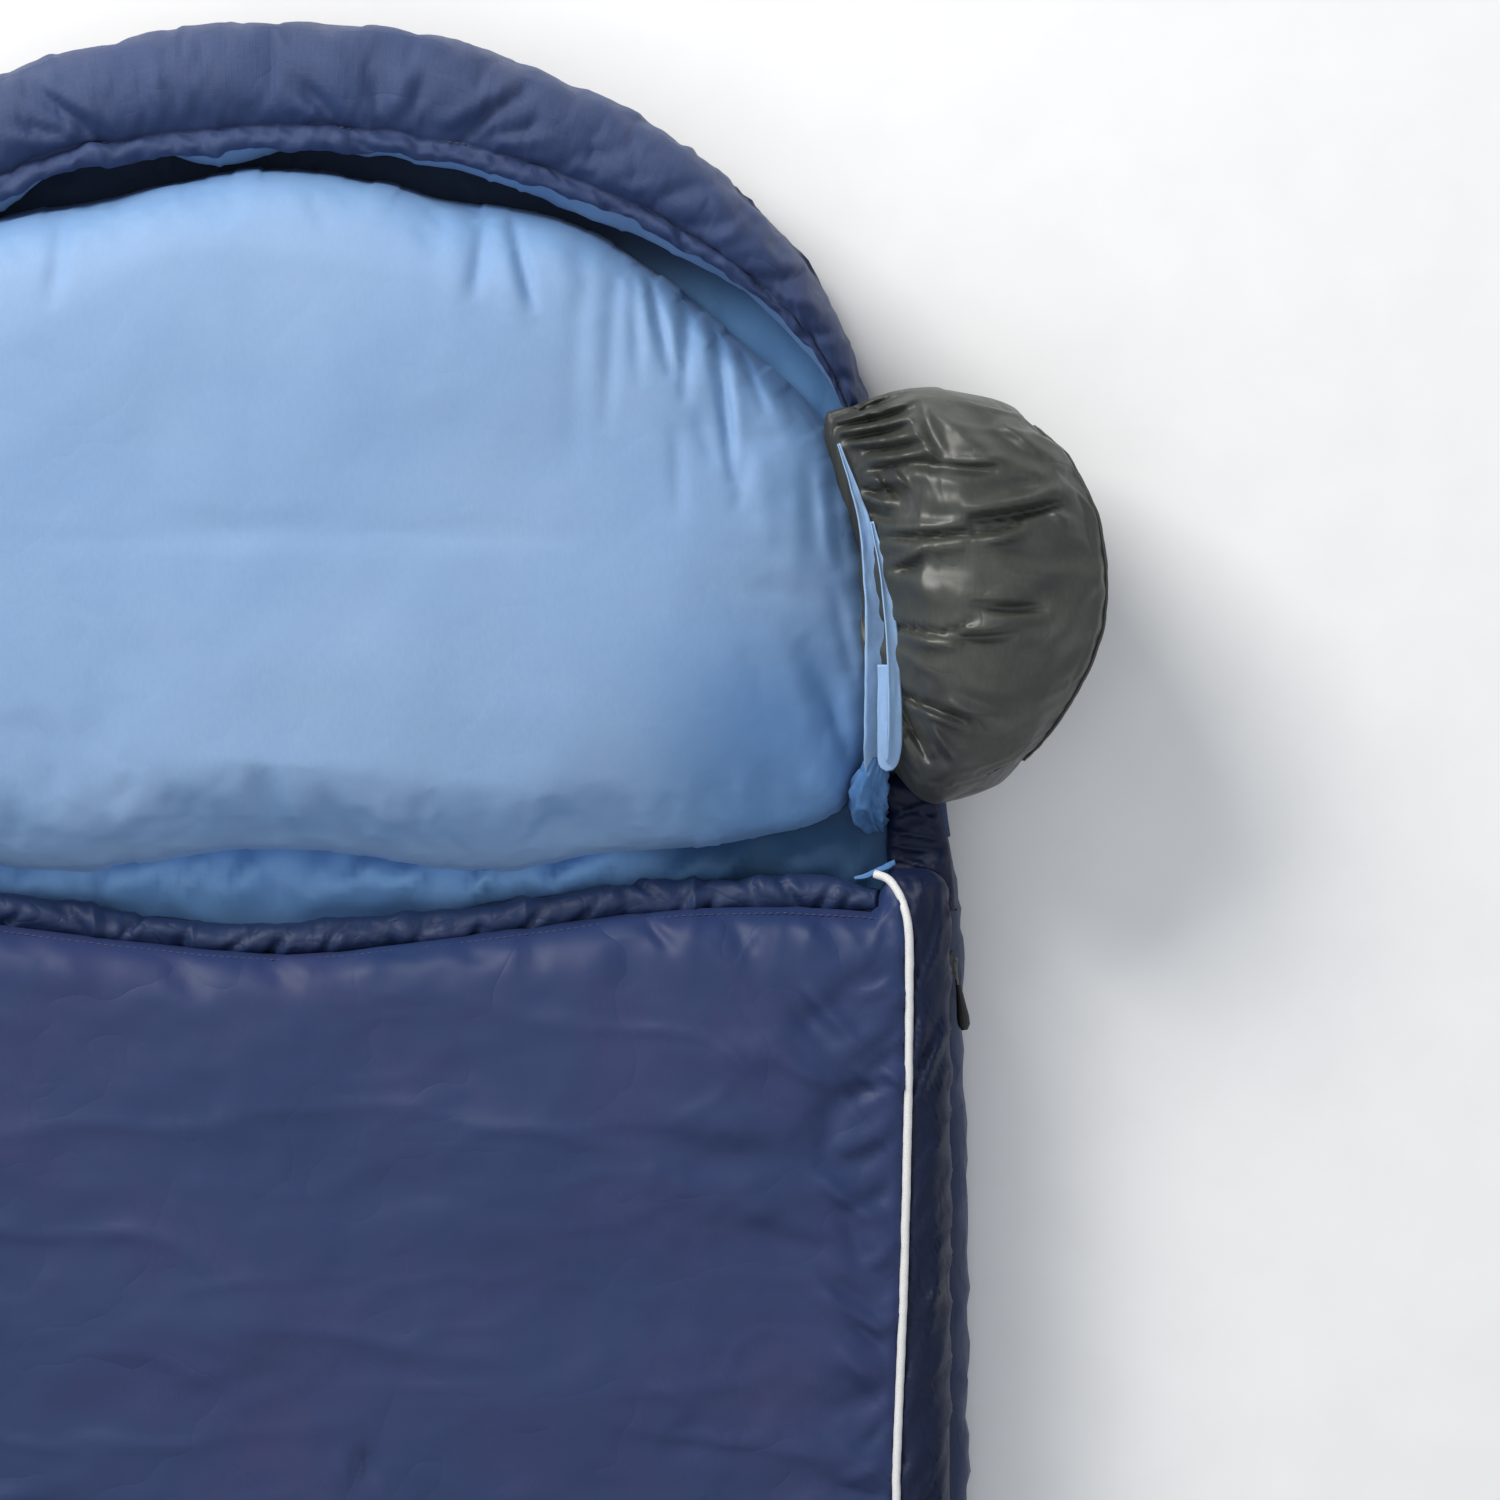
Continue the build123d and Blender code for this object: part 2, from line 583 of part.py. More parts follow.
# ---------------------------------------------------------------- cord locks
def lock_solids():
    """Cord lock in its own frame: cord along Y, plunger along X, pressed towards -X."""
    body = Pos(-1.5, 0, 0) * (Rot(0, 90, 0) * Cylinder(6.0, 13.0))
    body = fillet(body.edges().group_by(Axis.X)[0], 1.6)
    body -= Pos(0.5, 0, 0) * (Rot(0, 90, 0) * Cylinder(4.4, 13.0))
    body -= Rot(90, 0, 0) * Cylinder(2.1, 14.0)
    stem = Pos(3.4, 0, 0) * (Rot(0, 90, 0) * Cylinder(4.2, 10.0))
    head = Pos(9.1, 0, 0) * (Rot(0, 90, 0) * Cylinder(5.4, 3.2))
    head = fillet(head.edges().group_by(Axis.X)[-1], 1.2)
    button = stem + head
    gap = (Rot(90, 0, 0) * Cylinder(2.0, 12.0)) + \
          (Pos(2.6, 0, 0) * (Rot(90, 0, 0) * Cylinder(2.0, 12.0))) + \
          (Pos(1.3, 0, 0) * Box(2.6, 12.0, 4.0))
    button -= gap
    wire = Wire(Helix(pitch=1.15, height=3.6, radius=3.0, direction=(1, 0, 0), center=(-5.55, 0, 0)))
    start = wire @ 0
    tangent = wire % 0
    prof = Plane(origin=start, z_dir=tangent) * Circle(0.35)
    spring = sweep(prof, path=wire)
    return body, button, spring


l_body, l_button, l_spring = lock_solids()
for name, at in (("collar", Pos(COLLAR_TAIL_X, 500.0, COLLAR_TAIL_Z + 0.0)),
                 ("hood", Pos(HOOD_TAIL_X, 715.0, HOOD_TAIL_Z + 0.0))):
    parts[f"{name}_lock_body"] = biggest(at * l_body)
    parts[f"{name}_lock_button"] = biggest(at * l_button)
    parts[f"{name}_lock_spring"] = biggest(at * l_spring)

# ---------------------------------------------------------------- write
os.makedirs("parts", exist_ok=True)
for name, shape in parts.items():
    export_step(shape, f"parts/{name}.step")
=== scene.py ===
"""Looks of the rectangular sleeping bag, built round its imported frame. Metres, +Z up, +Y to the head, +X zip side."""

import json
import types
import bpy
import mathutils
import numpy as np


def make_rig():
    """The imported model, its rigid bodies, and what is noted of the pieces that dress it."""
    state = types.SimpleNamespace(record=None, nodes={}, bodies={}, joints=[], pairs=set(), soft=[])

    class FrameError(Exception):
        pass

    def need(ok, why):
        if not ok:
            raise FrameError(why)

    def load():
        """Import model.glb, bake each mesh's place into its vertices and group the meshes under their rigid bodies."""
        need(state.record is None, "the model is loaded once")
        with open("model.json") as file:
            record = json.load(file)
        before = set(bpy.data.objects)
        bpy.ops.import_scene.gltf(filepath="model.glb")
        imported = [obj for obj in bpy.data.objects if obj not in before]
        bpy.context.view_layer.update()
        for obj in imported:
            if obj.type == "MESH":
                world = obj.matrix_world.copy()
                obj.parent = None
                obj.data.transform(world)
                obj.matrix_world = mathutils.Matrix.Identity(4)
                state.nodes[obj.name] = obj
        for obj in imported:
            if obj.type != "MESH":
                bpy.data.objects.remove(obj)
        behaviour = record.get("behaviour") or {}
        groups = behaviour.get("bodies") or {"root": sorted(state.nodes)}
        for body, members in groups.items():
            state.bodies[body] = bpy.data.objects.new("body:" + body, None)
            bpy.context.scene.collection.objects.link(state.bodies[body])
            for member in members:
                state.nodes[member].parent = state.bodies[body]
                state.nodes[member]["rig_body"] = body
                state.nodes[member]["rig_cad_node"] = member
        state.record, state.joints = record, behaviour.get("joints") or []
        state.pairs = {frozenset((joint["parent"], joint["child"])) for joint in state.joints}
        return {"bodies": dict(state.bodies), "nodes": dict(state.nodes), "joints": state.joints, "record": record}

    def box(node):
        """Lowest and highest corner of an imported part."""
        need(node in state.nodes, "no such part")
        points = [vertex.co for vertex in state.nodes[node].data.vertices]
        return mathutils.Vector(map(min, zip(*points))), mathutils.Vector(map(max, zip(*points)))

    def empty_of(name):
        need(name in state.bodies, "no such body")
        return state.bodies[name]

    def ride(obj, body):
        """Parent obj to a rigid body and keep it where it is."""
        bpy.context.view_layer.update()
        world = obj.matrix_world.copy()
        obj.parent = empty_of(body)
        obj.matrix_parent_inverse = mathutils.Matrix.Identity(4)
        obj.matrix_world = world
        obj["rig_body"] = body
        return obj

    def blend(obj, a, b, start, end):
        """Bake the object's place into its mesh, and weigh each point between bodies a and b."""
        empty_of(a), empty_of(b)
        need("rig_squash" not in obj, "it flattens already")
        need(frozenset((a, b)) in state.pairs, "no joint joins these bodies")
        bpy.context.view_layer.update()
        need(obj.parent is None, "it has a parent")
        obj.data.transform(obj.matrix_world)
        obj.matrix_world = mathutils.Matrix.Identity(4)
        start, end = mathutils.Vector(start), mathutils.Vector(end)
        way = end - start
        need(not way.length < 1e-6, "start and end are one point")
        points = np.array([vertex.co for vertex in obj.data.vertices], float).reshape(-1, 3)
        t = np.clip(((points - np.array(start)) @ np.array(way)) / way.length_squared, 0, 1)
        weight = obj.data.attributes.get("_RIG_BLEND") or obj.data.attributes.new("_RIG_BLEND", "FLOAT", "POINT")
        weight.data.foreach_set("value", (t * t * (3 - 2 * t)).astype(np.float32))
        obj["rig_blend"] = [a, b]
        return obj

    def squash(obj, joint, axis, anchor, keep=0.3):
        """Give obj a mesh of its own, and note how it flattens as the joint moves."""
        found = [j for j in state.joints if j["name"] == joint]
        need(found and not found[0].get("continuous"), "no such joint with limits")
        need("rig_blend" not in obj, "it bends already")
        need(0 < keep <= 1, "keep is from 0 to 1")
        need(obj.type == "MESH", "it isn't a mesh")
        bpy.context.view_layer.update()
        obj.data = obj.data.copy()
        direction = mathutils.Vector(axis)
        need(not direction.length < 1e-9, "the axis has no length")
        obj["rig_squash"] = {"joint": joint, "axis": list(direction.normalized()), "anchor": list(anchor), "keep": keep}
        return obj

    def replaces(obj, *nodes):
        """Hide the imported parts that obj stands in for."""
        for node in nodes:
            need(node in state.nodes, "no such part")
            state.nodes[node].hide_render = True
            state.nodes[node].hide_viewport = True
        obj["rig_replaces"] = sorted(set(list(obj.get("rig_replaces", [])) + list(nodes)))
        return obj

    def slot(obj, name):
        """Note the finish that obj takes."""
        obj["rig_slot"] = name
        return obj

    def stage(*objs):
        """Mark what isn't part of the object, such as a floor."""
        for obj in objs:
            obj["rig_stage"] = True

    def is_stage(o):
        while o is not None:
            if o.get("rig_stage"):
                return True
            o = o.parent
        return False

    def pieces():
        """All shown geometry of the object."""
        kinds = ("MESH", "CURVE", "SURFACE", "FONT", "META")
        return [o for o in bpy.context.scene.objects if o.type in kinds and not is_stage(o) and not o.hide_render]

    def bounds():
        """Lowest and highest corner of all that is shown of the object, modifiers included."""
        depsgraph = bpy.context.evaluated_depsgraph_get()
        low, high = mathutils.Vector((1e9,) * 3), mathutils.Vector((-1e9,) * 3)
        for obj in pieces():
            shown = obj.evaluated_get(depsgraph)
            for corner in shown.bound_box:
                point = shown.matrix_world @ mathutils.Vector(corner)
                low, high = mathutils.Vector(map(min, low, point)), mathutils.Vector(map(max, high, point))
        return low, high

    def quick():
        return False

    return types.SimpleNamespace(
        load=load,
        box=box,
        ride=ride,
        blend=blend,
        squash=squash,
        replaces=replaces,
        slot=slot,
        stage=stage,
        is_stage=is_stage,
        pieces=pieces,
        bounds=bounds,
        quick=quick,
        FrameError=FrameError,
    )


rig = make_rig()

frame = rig.load()

import json
import math

import bpy
import numpy as np

CAD_BOX = [list(map(float, p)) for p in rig.bounds()]
MM = 0.001
scene = bpy.context.scene
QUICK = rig.quick()
N = frame["nodes"]

# ------------------------------------------------------------------ places taken from the frame
_b0, _b1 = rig.box("bottom_shell")
_h0, _h1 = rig.box("hood_back_shell")
HALF = _b1.x * 1000.0
Y_FOOT = _b0.y * 1000.0
Y_NECK = (_b1.y + _h0.y) * 500.0
Y_CROWN = _h1.y * 1000.0
Z_SEAM = 55.0
_j = {j["name"]: j for j in frame["joints"]}
Z_HINGE = _j["cover_open"]["pos_m"][2] * 1000.0


# ------------------------------------------------------------------ numbers: noise and shapes
def _hash(ix, iy, seed):
    h = (ix.astype(np.int64) * 374761393 + iy.astype(np.int64) * 668265263 + seed * 1274126177) & 0xFFFFFFFF
    h = ((h ^ (h >> 13)) * 1274126177) & 0xFFFFFFFF
    h = h ^ (h >> 16)
    return (h & 0xFFFFFF) / float(0xFFFFFF) * 2.0 - 1.0


def noise2(x, y, seed=0):
    x = np.asarray(x, float)
    y = np.asarray(y, float)
    x, y = np.broadcast_arrays(x, y)
    ix, iy = np.floor(x), np.floor(y)
    fx, fy = x - ix, y - iy
    ux = fx * fx * fx * (fx * (fx * 6 - 15) + 10)
    uy = fy * fy * fy * (fy * (fy * 6 - 15) + 10)
    a, b = _hash(ix, iy, seed), _hash(ix + 1, iy, seed)
    c, d = _hash(ix, iy + 1, seed), _hash(ix + 1, iy + 1, seed)
    return (a + (b - a) * ux) * (1 - uy) + (c + (d - c) * ux) * uy


def fbm(x, y, seed=0, octaves=4, gain=0.5):
    out, amp, tot = 0.0, 1.0, 0.0
    for o in range(octaves):
        out = out + amp * noise2(x * 2.03 ** o + 17.3 * o, y * 2.03 ** o - 9.1 * o, seed + o * 31)
        tot += amp
        amp *= gain
    return out / tot


def ridge(x, y, seed=0, sharp=1.6):
    """Crease lines: 1 on a line, falling to 0 between lines."""
    n = noise2(x, y, seed) * 0.75 + noise2(x * 2.1 + 5.2, y * 2.1, seed + 7) * 0.25
    return np.clip(1.0 - np.abs(n) * 2.6, 0, 1) ** sharp


def smooth(a, b, x):
    t = np.clip((np.asarray(x, float) - a) / (b - a), 0, 1)
    return t * t * (3 - 2 * t)


def spline(points, n, closed=False):
    """Catmull-Rom run through points, n samples, evenly spaced along its length."""
    P = np.array(points, float)
    if closed:
        P = np.vstack([P[-1], P, P[0], P[1]])
    else:
        P = np.vstack([2 * P[0] - P[1], P, 2 * P[-1] - P[-2]])
    out = []
    for i in range(1, len(P) - 2):
        t = np.linspace(0, 1, 24, endpoint=False)[:, None]
        p0, p1, p2, p3 = P[i - 1], P[i], P[i + 1], P[i + 2]
        out.append(0.5 * (2 * p1 + (p2 - p0) * t + (2 * p0 - 5 * p1 + 4 * p2 - p3) * t ** 2 + (3 * p1 - p0 - 3 * p2 + p3) * t ** 3))
    out = np.vstack(out + ([P[1][None]] if closed else [P[-2][None]]))
    seg = np.r_[0, np.cumsum(np.linalg.norm(np.diff(out, axis=0), axis=1))]
    q = np.linspace(0, seg[-1], n + 1 if closed else n)
    res = np.stack([np.interp(q, seg, out[:, k]) for k in range(out.shape[1])], 1)
    return res[:-1] if closed else res


def poly_dist(x, y, poly):
    """Distance from each point to a closed polygon's edge, positive inside."""
    x, y = np.asarray(x, float), np.asarray(y, float)
    best = np.full(x.shape, 1e9)
    inside = np.zeros(x.shape, bool)
    n = len(poly)
    for i in range(n):
        x0, y0 = poly[i]
        x1, y1 = poly[(i + 1) % n]
        dx, dy = x1 - x0, y1 - y0
        L = dx * dx + dy * dy
        if L < 1e-12:
            continue
        t = np.clip(((x - x0) * dx + (y - y0) * dy) / L, 0, 1)
        best = np.minimum(best, np.hypot(x - x0 - t * dx, y - y0 - t * dy))
        cond = (y0 > y) != (y1 > y)
        with np.errstate(divide="ignore", invalid="ignore"):
            xi = x0 + (y - y0) * dx / (dy if dy != 0 else 1e-12)
        inside ^= cond & (x < xi)
    return np.where(inside, best, -best)


def vertex_normals(V, F):
    V = np.asarray(V, float)
    nrm = np.zeros_like(V)
    F4 = np.array([f if len(f) == 4 else (f[0], f[1], f[2], f[2]) for f in F])
    a, b, c, d = (V[F4[:, k]] for k in range(4))
    fn = np.cross(c - a, d - b)
    flat = F4[:, 2] == F4[:, 3]
    fn[flat] = np.cross(b[flat] - a[flat], c[flat] - a[flat])
    for k in range(4):
        np.add.at(nrm, F4[:, k], fn)
    return nrm / np.maximum(np.linalg.norm(nrm, axis=1, keepdims=True), 1e-12)


# ------------------------------------------------------------------ meshes
def link(o):
    scene.collection.objects.link(o)
    return o


def make_mesh(name, V, F, mats, coord=None, mat_index=None):
    """V in millimetres. coord: cloth coordinates in millimetres that the weave follows."""
    me = bpy.data.meshes.new(name)
    V = np.asarray(V, float)
    me.from_pydata((V * MM).tolist(), [], [tuple(int(i) for i in f) for f in F])
    me.update()
    if coord is None:
        coord = V
    coord = np.asarray(coord, float)
    if coord.shape[1] == 2:
        coord = np.c_[coord, np.zeros(len(coord))]
    at = me.attributes.new("cloth", "FLOAT_VECTOR", "POINT")
    at.data.foreach_set("vector", (coord * MM).astype(np.float32).ravel())
    for m in mats:
        me.materials.append(m)
    me.polygons.foreach_set("use_smooth", [True] * len(me.polygons))
    if mat_index is not None:
        me.polygons.foreach_set("material_index", [int(i) for i in mat_index])
    me.update()
    return link(bpy.data.objects.new(name, me))


def grid_faces(nu, nv, close_u=False, close_v=False, base=0, flip=False):
    F = []
    for i in range(nu if close_u else nu - 1):
        i2 = (i + 1) % nu
        for j in range(nv if close_v else nv - 1):
            j2 = (j + 1) % nv
            q = (base + i * nv + j, base + i2 * nv + j, base + i2 * nv + j2, base + i * nv + j2)
            F.append(q[::-1] if flip else q)
    return F


def tube_mesh(name, path, radius, mats, seg=10, rad_fn=None, cap=True, coord_scale=1.0, squash_z=1.0):
    """Round tube along path (mm). rad_fn(u, angle) multiplies the radius; u is the length run so far."""
    P = np.asarray(path, float)
    n = len(P)
    T = np.gradient(P, axis=0)
    T /= np.maximum(np.linalg.norm(T, axis=1, keepdims=True), 1e-9)
    up = np.array([0, 0, 1.0])
    S = np.cross(T, up)
    bad = np.linalg.norm(S, axis=1) < 0.2
    S[bad] = np.cross(T[bad], np.array([1.0, 0, 0]))
    S /= np.linalg.norm(S, axis=1, keepdims=True)
    U = np.cross(S, T)
    run = np.r_[0, np.cumsum(np.linalg.norm(np.diff(P, axis=0), axis=1))]
    V, C = [], []
    for i in range(n):
        for j in range(seg):
            a = 2 * math.pi * j / seg
            r = radius if np.isscalar(radius) else radius[i]
            if rad_fn is not None:
                r = r * rad_fn(run[i], a)
            V.append(P[i] + S[i] * (r * math.cos(a)) + U[i] * (r * math.sin(a) * squash_z))
            C.append((run[i] * coord_scale, a * (radius if np.isscalar(radius) else radius[i]), 0))
    F = grid_faces(n, seg, close_v=True, flip=False)
    V = list(V)
    if cap:
        for end in (0, n - 1):
            c = len(V)
            V.append(P[end])
            C.append((run[end], 0, 0))
            for j in range(seg):
                a, b = end * seg + j, end * seg + (j + 1) % seg
                F.append((c, b, a) if end else (c, a, b))
    return make_mesh(name, V, F, mats, C)


def joined(name, items, mats):
    """One object from several (V, F, coord) lumps."""
    V, F, C, base = [], [], [], 0
    for v, f, c in items:
        v = np.asarray(v, float)
        V.append(v)
        C.append(np.asarray(c, float) if c is not None else v)
        F += [tuple(i + base for i in q) for q in f]
        base += len(v)
    return make_mesh(name, np.vstack(V), F, mats, np.vstack(C))


def stitch_items(path, normals, length=2.6, gap=1.5, width=0.55, height=0.35):
    """Small sewn stitches lying along a path; normals point away from the cloth."""
    P = np.asarray(path, float)
    run = np.r_[0, np.cumsum(np.linalg.norm(np.diff(P, axis=0), axis=1))]
    Nn = np.asarray(normals, float)
    items = []
    s = gap
    while s + length < run[-1]:
        def at(q):
            return np.array([np.interp(q, run, P[:, k]) for k in range(3)]), np.array([np.interp(q, run, Nn[:, k]) for k in range(3)])
        rings = []
        for t, w in ((0.0, 0.35), (0.25, 0.9), (0.75, 0.9), (1.0, 0.35)):
            c, nn = at(s + length * t)
            c2, _ = at(min(s + length * t + 0.4, run[-1]))
            tdir = c2 - c
            tdir /= max(np.linalg.norm(tdir), 1e-9)
            nn = nn / max(np.linalg.norm(nn), 1e-9)
            side = np.cross(tdir, nn)
            lift = height * (0.15 if w < 0.5 else 0.8)
            rings.append([c + side * width * w + nn * (lift - 0.25), c + side * width * w * 0.5 + nn * (lift + height * 0.55 * w),
                          c - side * width * w * 0.5 + nn * (lift + height * 0.55 * w), c - side * width * w + nn * (lift - 0.25)])
        v = np.array(rings).reshape(-1, 3)
        f = grid_faces(4, 4, close_v=True)
        f += [(0, 1, 2, 3), (15, 14, 13, 12)]
        items.append((v, f, np.c_[np.tile([0.0, 1, 2, 3], 4) * 0.3, np.repeat([0.0, 1, 2, 3], 4) * length / 3, np.zeros(16)]))
        s += length + gap
    return items


def outward(o):
    """Turns every face of closed pieces to point out of the cloth."""
    import bmesh
    bm = bmesh.new()
    bm.from_mesh(o.data)
    bmesh.ops.recalc_face_normals(bm, faces=bm.faces)
    bm.to_mesh(o.data)
    bm.free()
    o.data.update()
    return o


def set_group(o, name, weights):
    g = o.vertex_groups.new(name=name)
    for i, w in enumerate(weights):
        if w > 0.001:
            g.add([i], float(w), "REPLACE")
    return g


def co_of(o):
    co = np.zeros(len(o.data.vertices) * 3)
    o.data.vertices.foreach_get("co", co)
    return co.reshape(-1, 3)


def faces_of(o):
    return [tuple(p.vertices) for p in o.data.polygons]


def normals_of(o):
    nr = np.zeros(len(o.data.vertices) * 3)
    o.data.vertices.foreach_get("normal", nr)
    return nr.reshape(-1, 3)


def put_co(o, co):
    o.data.vertices.foreach_set("co", np.asarray(co, float).ravel())
    o.data.update()


def add_coord(o, coord_mm):
    at = o.data.attributes.get("cloth") or o.data.attributes.new("cloth", "FLOAT_VECTOR", "POINT")
    at.data.foreach_set("vector", (np.asarray(coord_mm, float) * MM).astype(np.float32).ravel())


def simulate(o, pins, frames=20, pressure=4.0, grow=0.0, grow_w=None, grow_max=None, cap=25.0,
             stiff=12.0, bend=0.15, mass=0.25, quality=5, damping=4.0):
    """Inflates cloth o with its pinned points held, then writes the settled shape into its mesh."""
    start = co_of(o)
    set_group(o, "pin", pins)
    if grow_w is not None:
        set_group(o, "grow", grow_w)
    m = o.modifiers.new("Cloth", "CLOTH")
    s = m.settings
    s.quality = quality
    s.mass = mass
    s.tension_stiffness = s.compression_stiffness = stiff
    s.shear_stiffness = stiff * 0.4
    s.bending_stiffness = bend
    s.tension_damping = s.compression_damping = s.shear_damping = damping
    s.bending_damping = 0.5
    s.air_damping = 2.0
    s.vertex_group_mass = "pin"
    s.pin_stiffness = 5.0
    s.use_pressure = True
    s.uniform_pressure_force = pressure
    s.shrink_min = -grow
    if grow_w is not None:
        s.vertex_group_shrink = "grow"
        s.shrink_max = -(grow if grow_max is None else grow_max)
    s.effector_weights.gravity = 0.0
    m.collision_settings.use_collision = False
    m.collision_settings.use_self_collision = False
    m.point_cache.frame_start = 1
    m.point_cache.frame_end = frames + 2
    for f in range(1, frames + 1):
        scene.frame_set(f)
    dg = bpy.context.evaluated_depsgraph_get()
    ev = o.evaluated_get(dg)
    me = ev.to_mesh()
    co = np.zeros(len(me.vertices) * 3)
    me.vertices.foreach_get("co", co)
    ev.to_mesh_clear()
    co = co.reshape(-1, 3)
    o.modifiers.remove(m)
    scene.frame_set(1)
    move = co - start
    size = np.linalg.norm(move, axis=1, keepdims=True)
    lim = cap * MM
    factor = np.where(size > lim, lim / np.maximum(size, 1e-9), 1.0)
    put_co(o, start + move * factor)
    for g in list(o.vertex_groups):
        o.vertex_groups.remove(g)


def apply_modifier(o, kind, **kw):
    m = o.modifiers.new(kind, kind)
    for k, v in kw.items():
        setattr(m, k, v)
    dg = bpy.context.evaluated_depsgraph_get()
    me = bpy.data.meshes.new_from_object(o.evaluated_get(dg))
    old = o.data
    o.modifiers.clear()
    o.data = me
    bpy.data.meshes.remove(old)
    me.name = o.name
    return o


def subdivide(o, levels=1):
    return apply_modifier(o, "SUBSURF", levels=levels, render_levels=levels)


def voxel(o, size):
    return apply_modifier(o, "REMESH", mode="VOXEL", voxel_size=size * MM, use_smooth_shade=True)


# ------------------------------------------------------------------ materials
class Graph:
    def __init__(self, name):
        self.m = bpy.data.materials.new(name)
        self.m.use_nodes = True
        self.t = self.m.node_tree
        self.t.nodes.clear()
        self.out = self.t.nodes.new("ShaderNodeOutputMaterial")
        self.b = self.t.nodes.new("ShaderNodeBsdfPrincipled")
        self.t.links.new(self.b.outputs[0], self.out.inputs[0])

    def n(self, kind, **kw):
        node = self.t.nodes.new(kind)
        for k, v in kw.items():
            setattr(node, k, v)
        return node

    def put(self, socket, value):
        if hasattr(value, "is_output"):
            self.t.links.new(value, socket)
        else:
            socket.default_value = value
        return socket

    def math(self, op, a, b=None, c=None, clamp=False):
        node = self.n("ShaderNodeMath", operation=op, use_clamp=clamp)
        for i, v in enumerate((a, b, c)):
            if v is not None:
                self.put(node.inputs[i], v)
        return node.outputs[0]

    def cloth(self):
        """Cloth coordinates in millimetres."""
        a = self.n("ShaderNodeAttribute", attribute_name="cloth")
        s = self.n("ShaderNodeVectorMath", operation="SCALE")
        self.put(s.inputs[0], a.outputs["Vector"])
        s.inputs["Scale"].default_value = 1000.0
        return s.outputs[0]

    def local(self):
        """Object coordinates in millimetres, for pieces that have no cloth coordinates."""
        a = self.n("ShaderNodeTexCoord")
        s = self.n("ShaderNodeVectorMath", operation="SCALE")
        self.put(s.inputs[0], a.outputs["Object"])
        s.inputs["Scale"].default_value = 1000.0
        return s.outputs[0]

    def split(self, vec):
        s = self.n("ShaderNodeSeparateXYZ")
        self.put(s.inputs[0], vec)
        return s.outputs

    def scaled(self, vec, x, y, z):
        s = self.n("ShaderNodeVectorMath", operation="MULTIPLY")
        self.put(s.inputs[0], vec)
        s.inputs[1].default_value = (x, y, z)
        return s.outputs[0]

    def noise(self, vec, scale, detail=3.0, rough=0.5, distort=0.0):
        t = self.n("ShaderNodeTexNoise")
        self.put(t.inputs["Vector"], vec)
        t.inputs["Scale"].default_value = scale
        t.inputs["Detail"].default_value = detail
        t.inputs["Roughness"].default_value = rough
        t.inputs["Distortion"].default_value = distort
        return t.outputs[0]

    def ramp(self, fac, stops):
        r = self.n("ShaderNodeValToRGB")
        self.put(r.inputs[0], fac)
        while len(r.color_ramp.elements) < len(stops):
            r.color_ramp.elements.new(0.5)
        for e, (p, c) in zip(r.color_ramp.elements, stops):
            e.position = p
            e.color = (*c, 1.0) if len(c) == 3 else c
        return r.outputs[0]

    def mix(self, fac, a, b, kind="MIX"):
        x = self.n("ShaderNodeMix", data_type="RGBA", blend_type=kind)
        self.put(x.inputs[0], fac)
        for sock, v in ((x.inputs[6], a), (x.inputs[7], b)):
            self.put(sock, v if hasattr(v, "is_output") else (*v, 1.0))
        return x.outputs[2]

    def set(self, **kw):
        names = {"color": "Base Color", "rough": "Roughness", "metal": "Metallic", "spec": "Specular IOR Level",
                 "sheen": "Sheen Weight", "sheen_rough": "Sheen Roughness", "sheen_tint": "Sheen Tint",
                 "coat": "Coat Weight", "coat_rough": "Coat Roughness", "normal": "Normal",
                 "aniso": "Anisotropic", "ior": "IOR"}
        for k, v in kw.items():
            sock = self.b.inputs[names[k]]
            if not hasattr(v, "is_output") and sock.type == "RGBA" and len(v) == 3:
                v = (*v, 1.0)
            self.put(sock, v)

    def bump(self, height, strength=1.0, distance=0.001, normal=None):
        b = self.n("ShaderNodeBump")
        b.inputs["Strength"].default_value = strength
        b.inputs["Distance"].default_value = distance
        self.put(b.inputs["Height"], height)
        if normal is not None:
            self.put(b.inputs["Normal"], normal)
        return b.outputs[0]


def shade(c, k):
    return tuple(min(1.0, max(0.0, v * k)) for v in c)


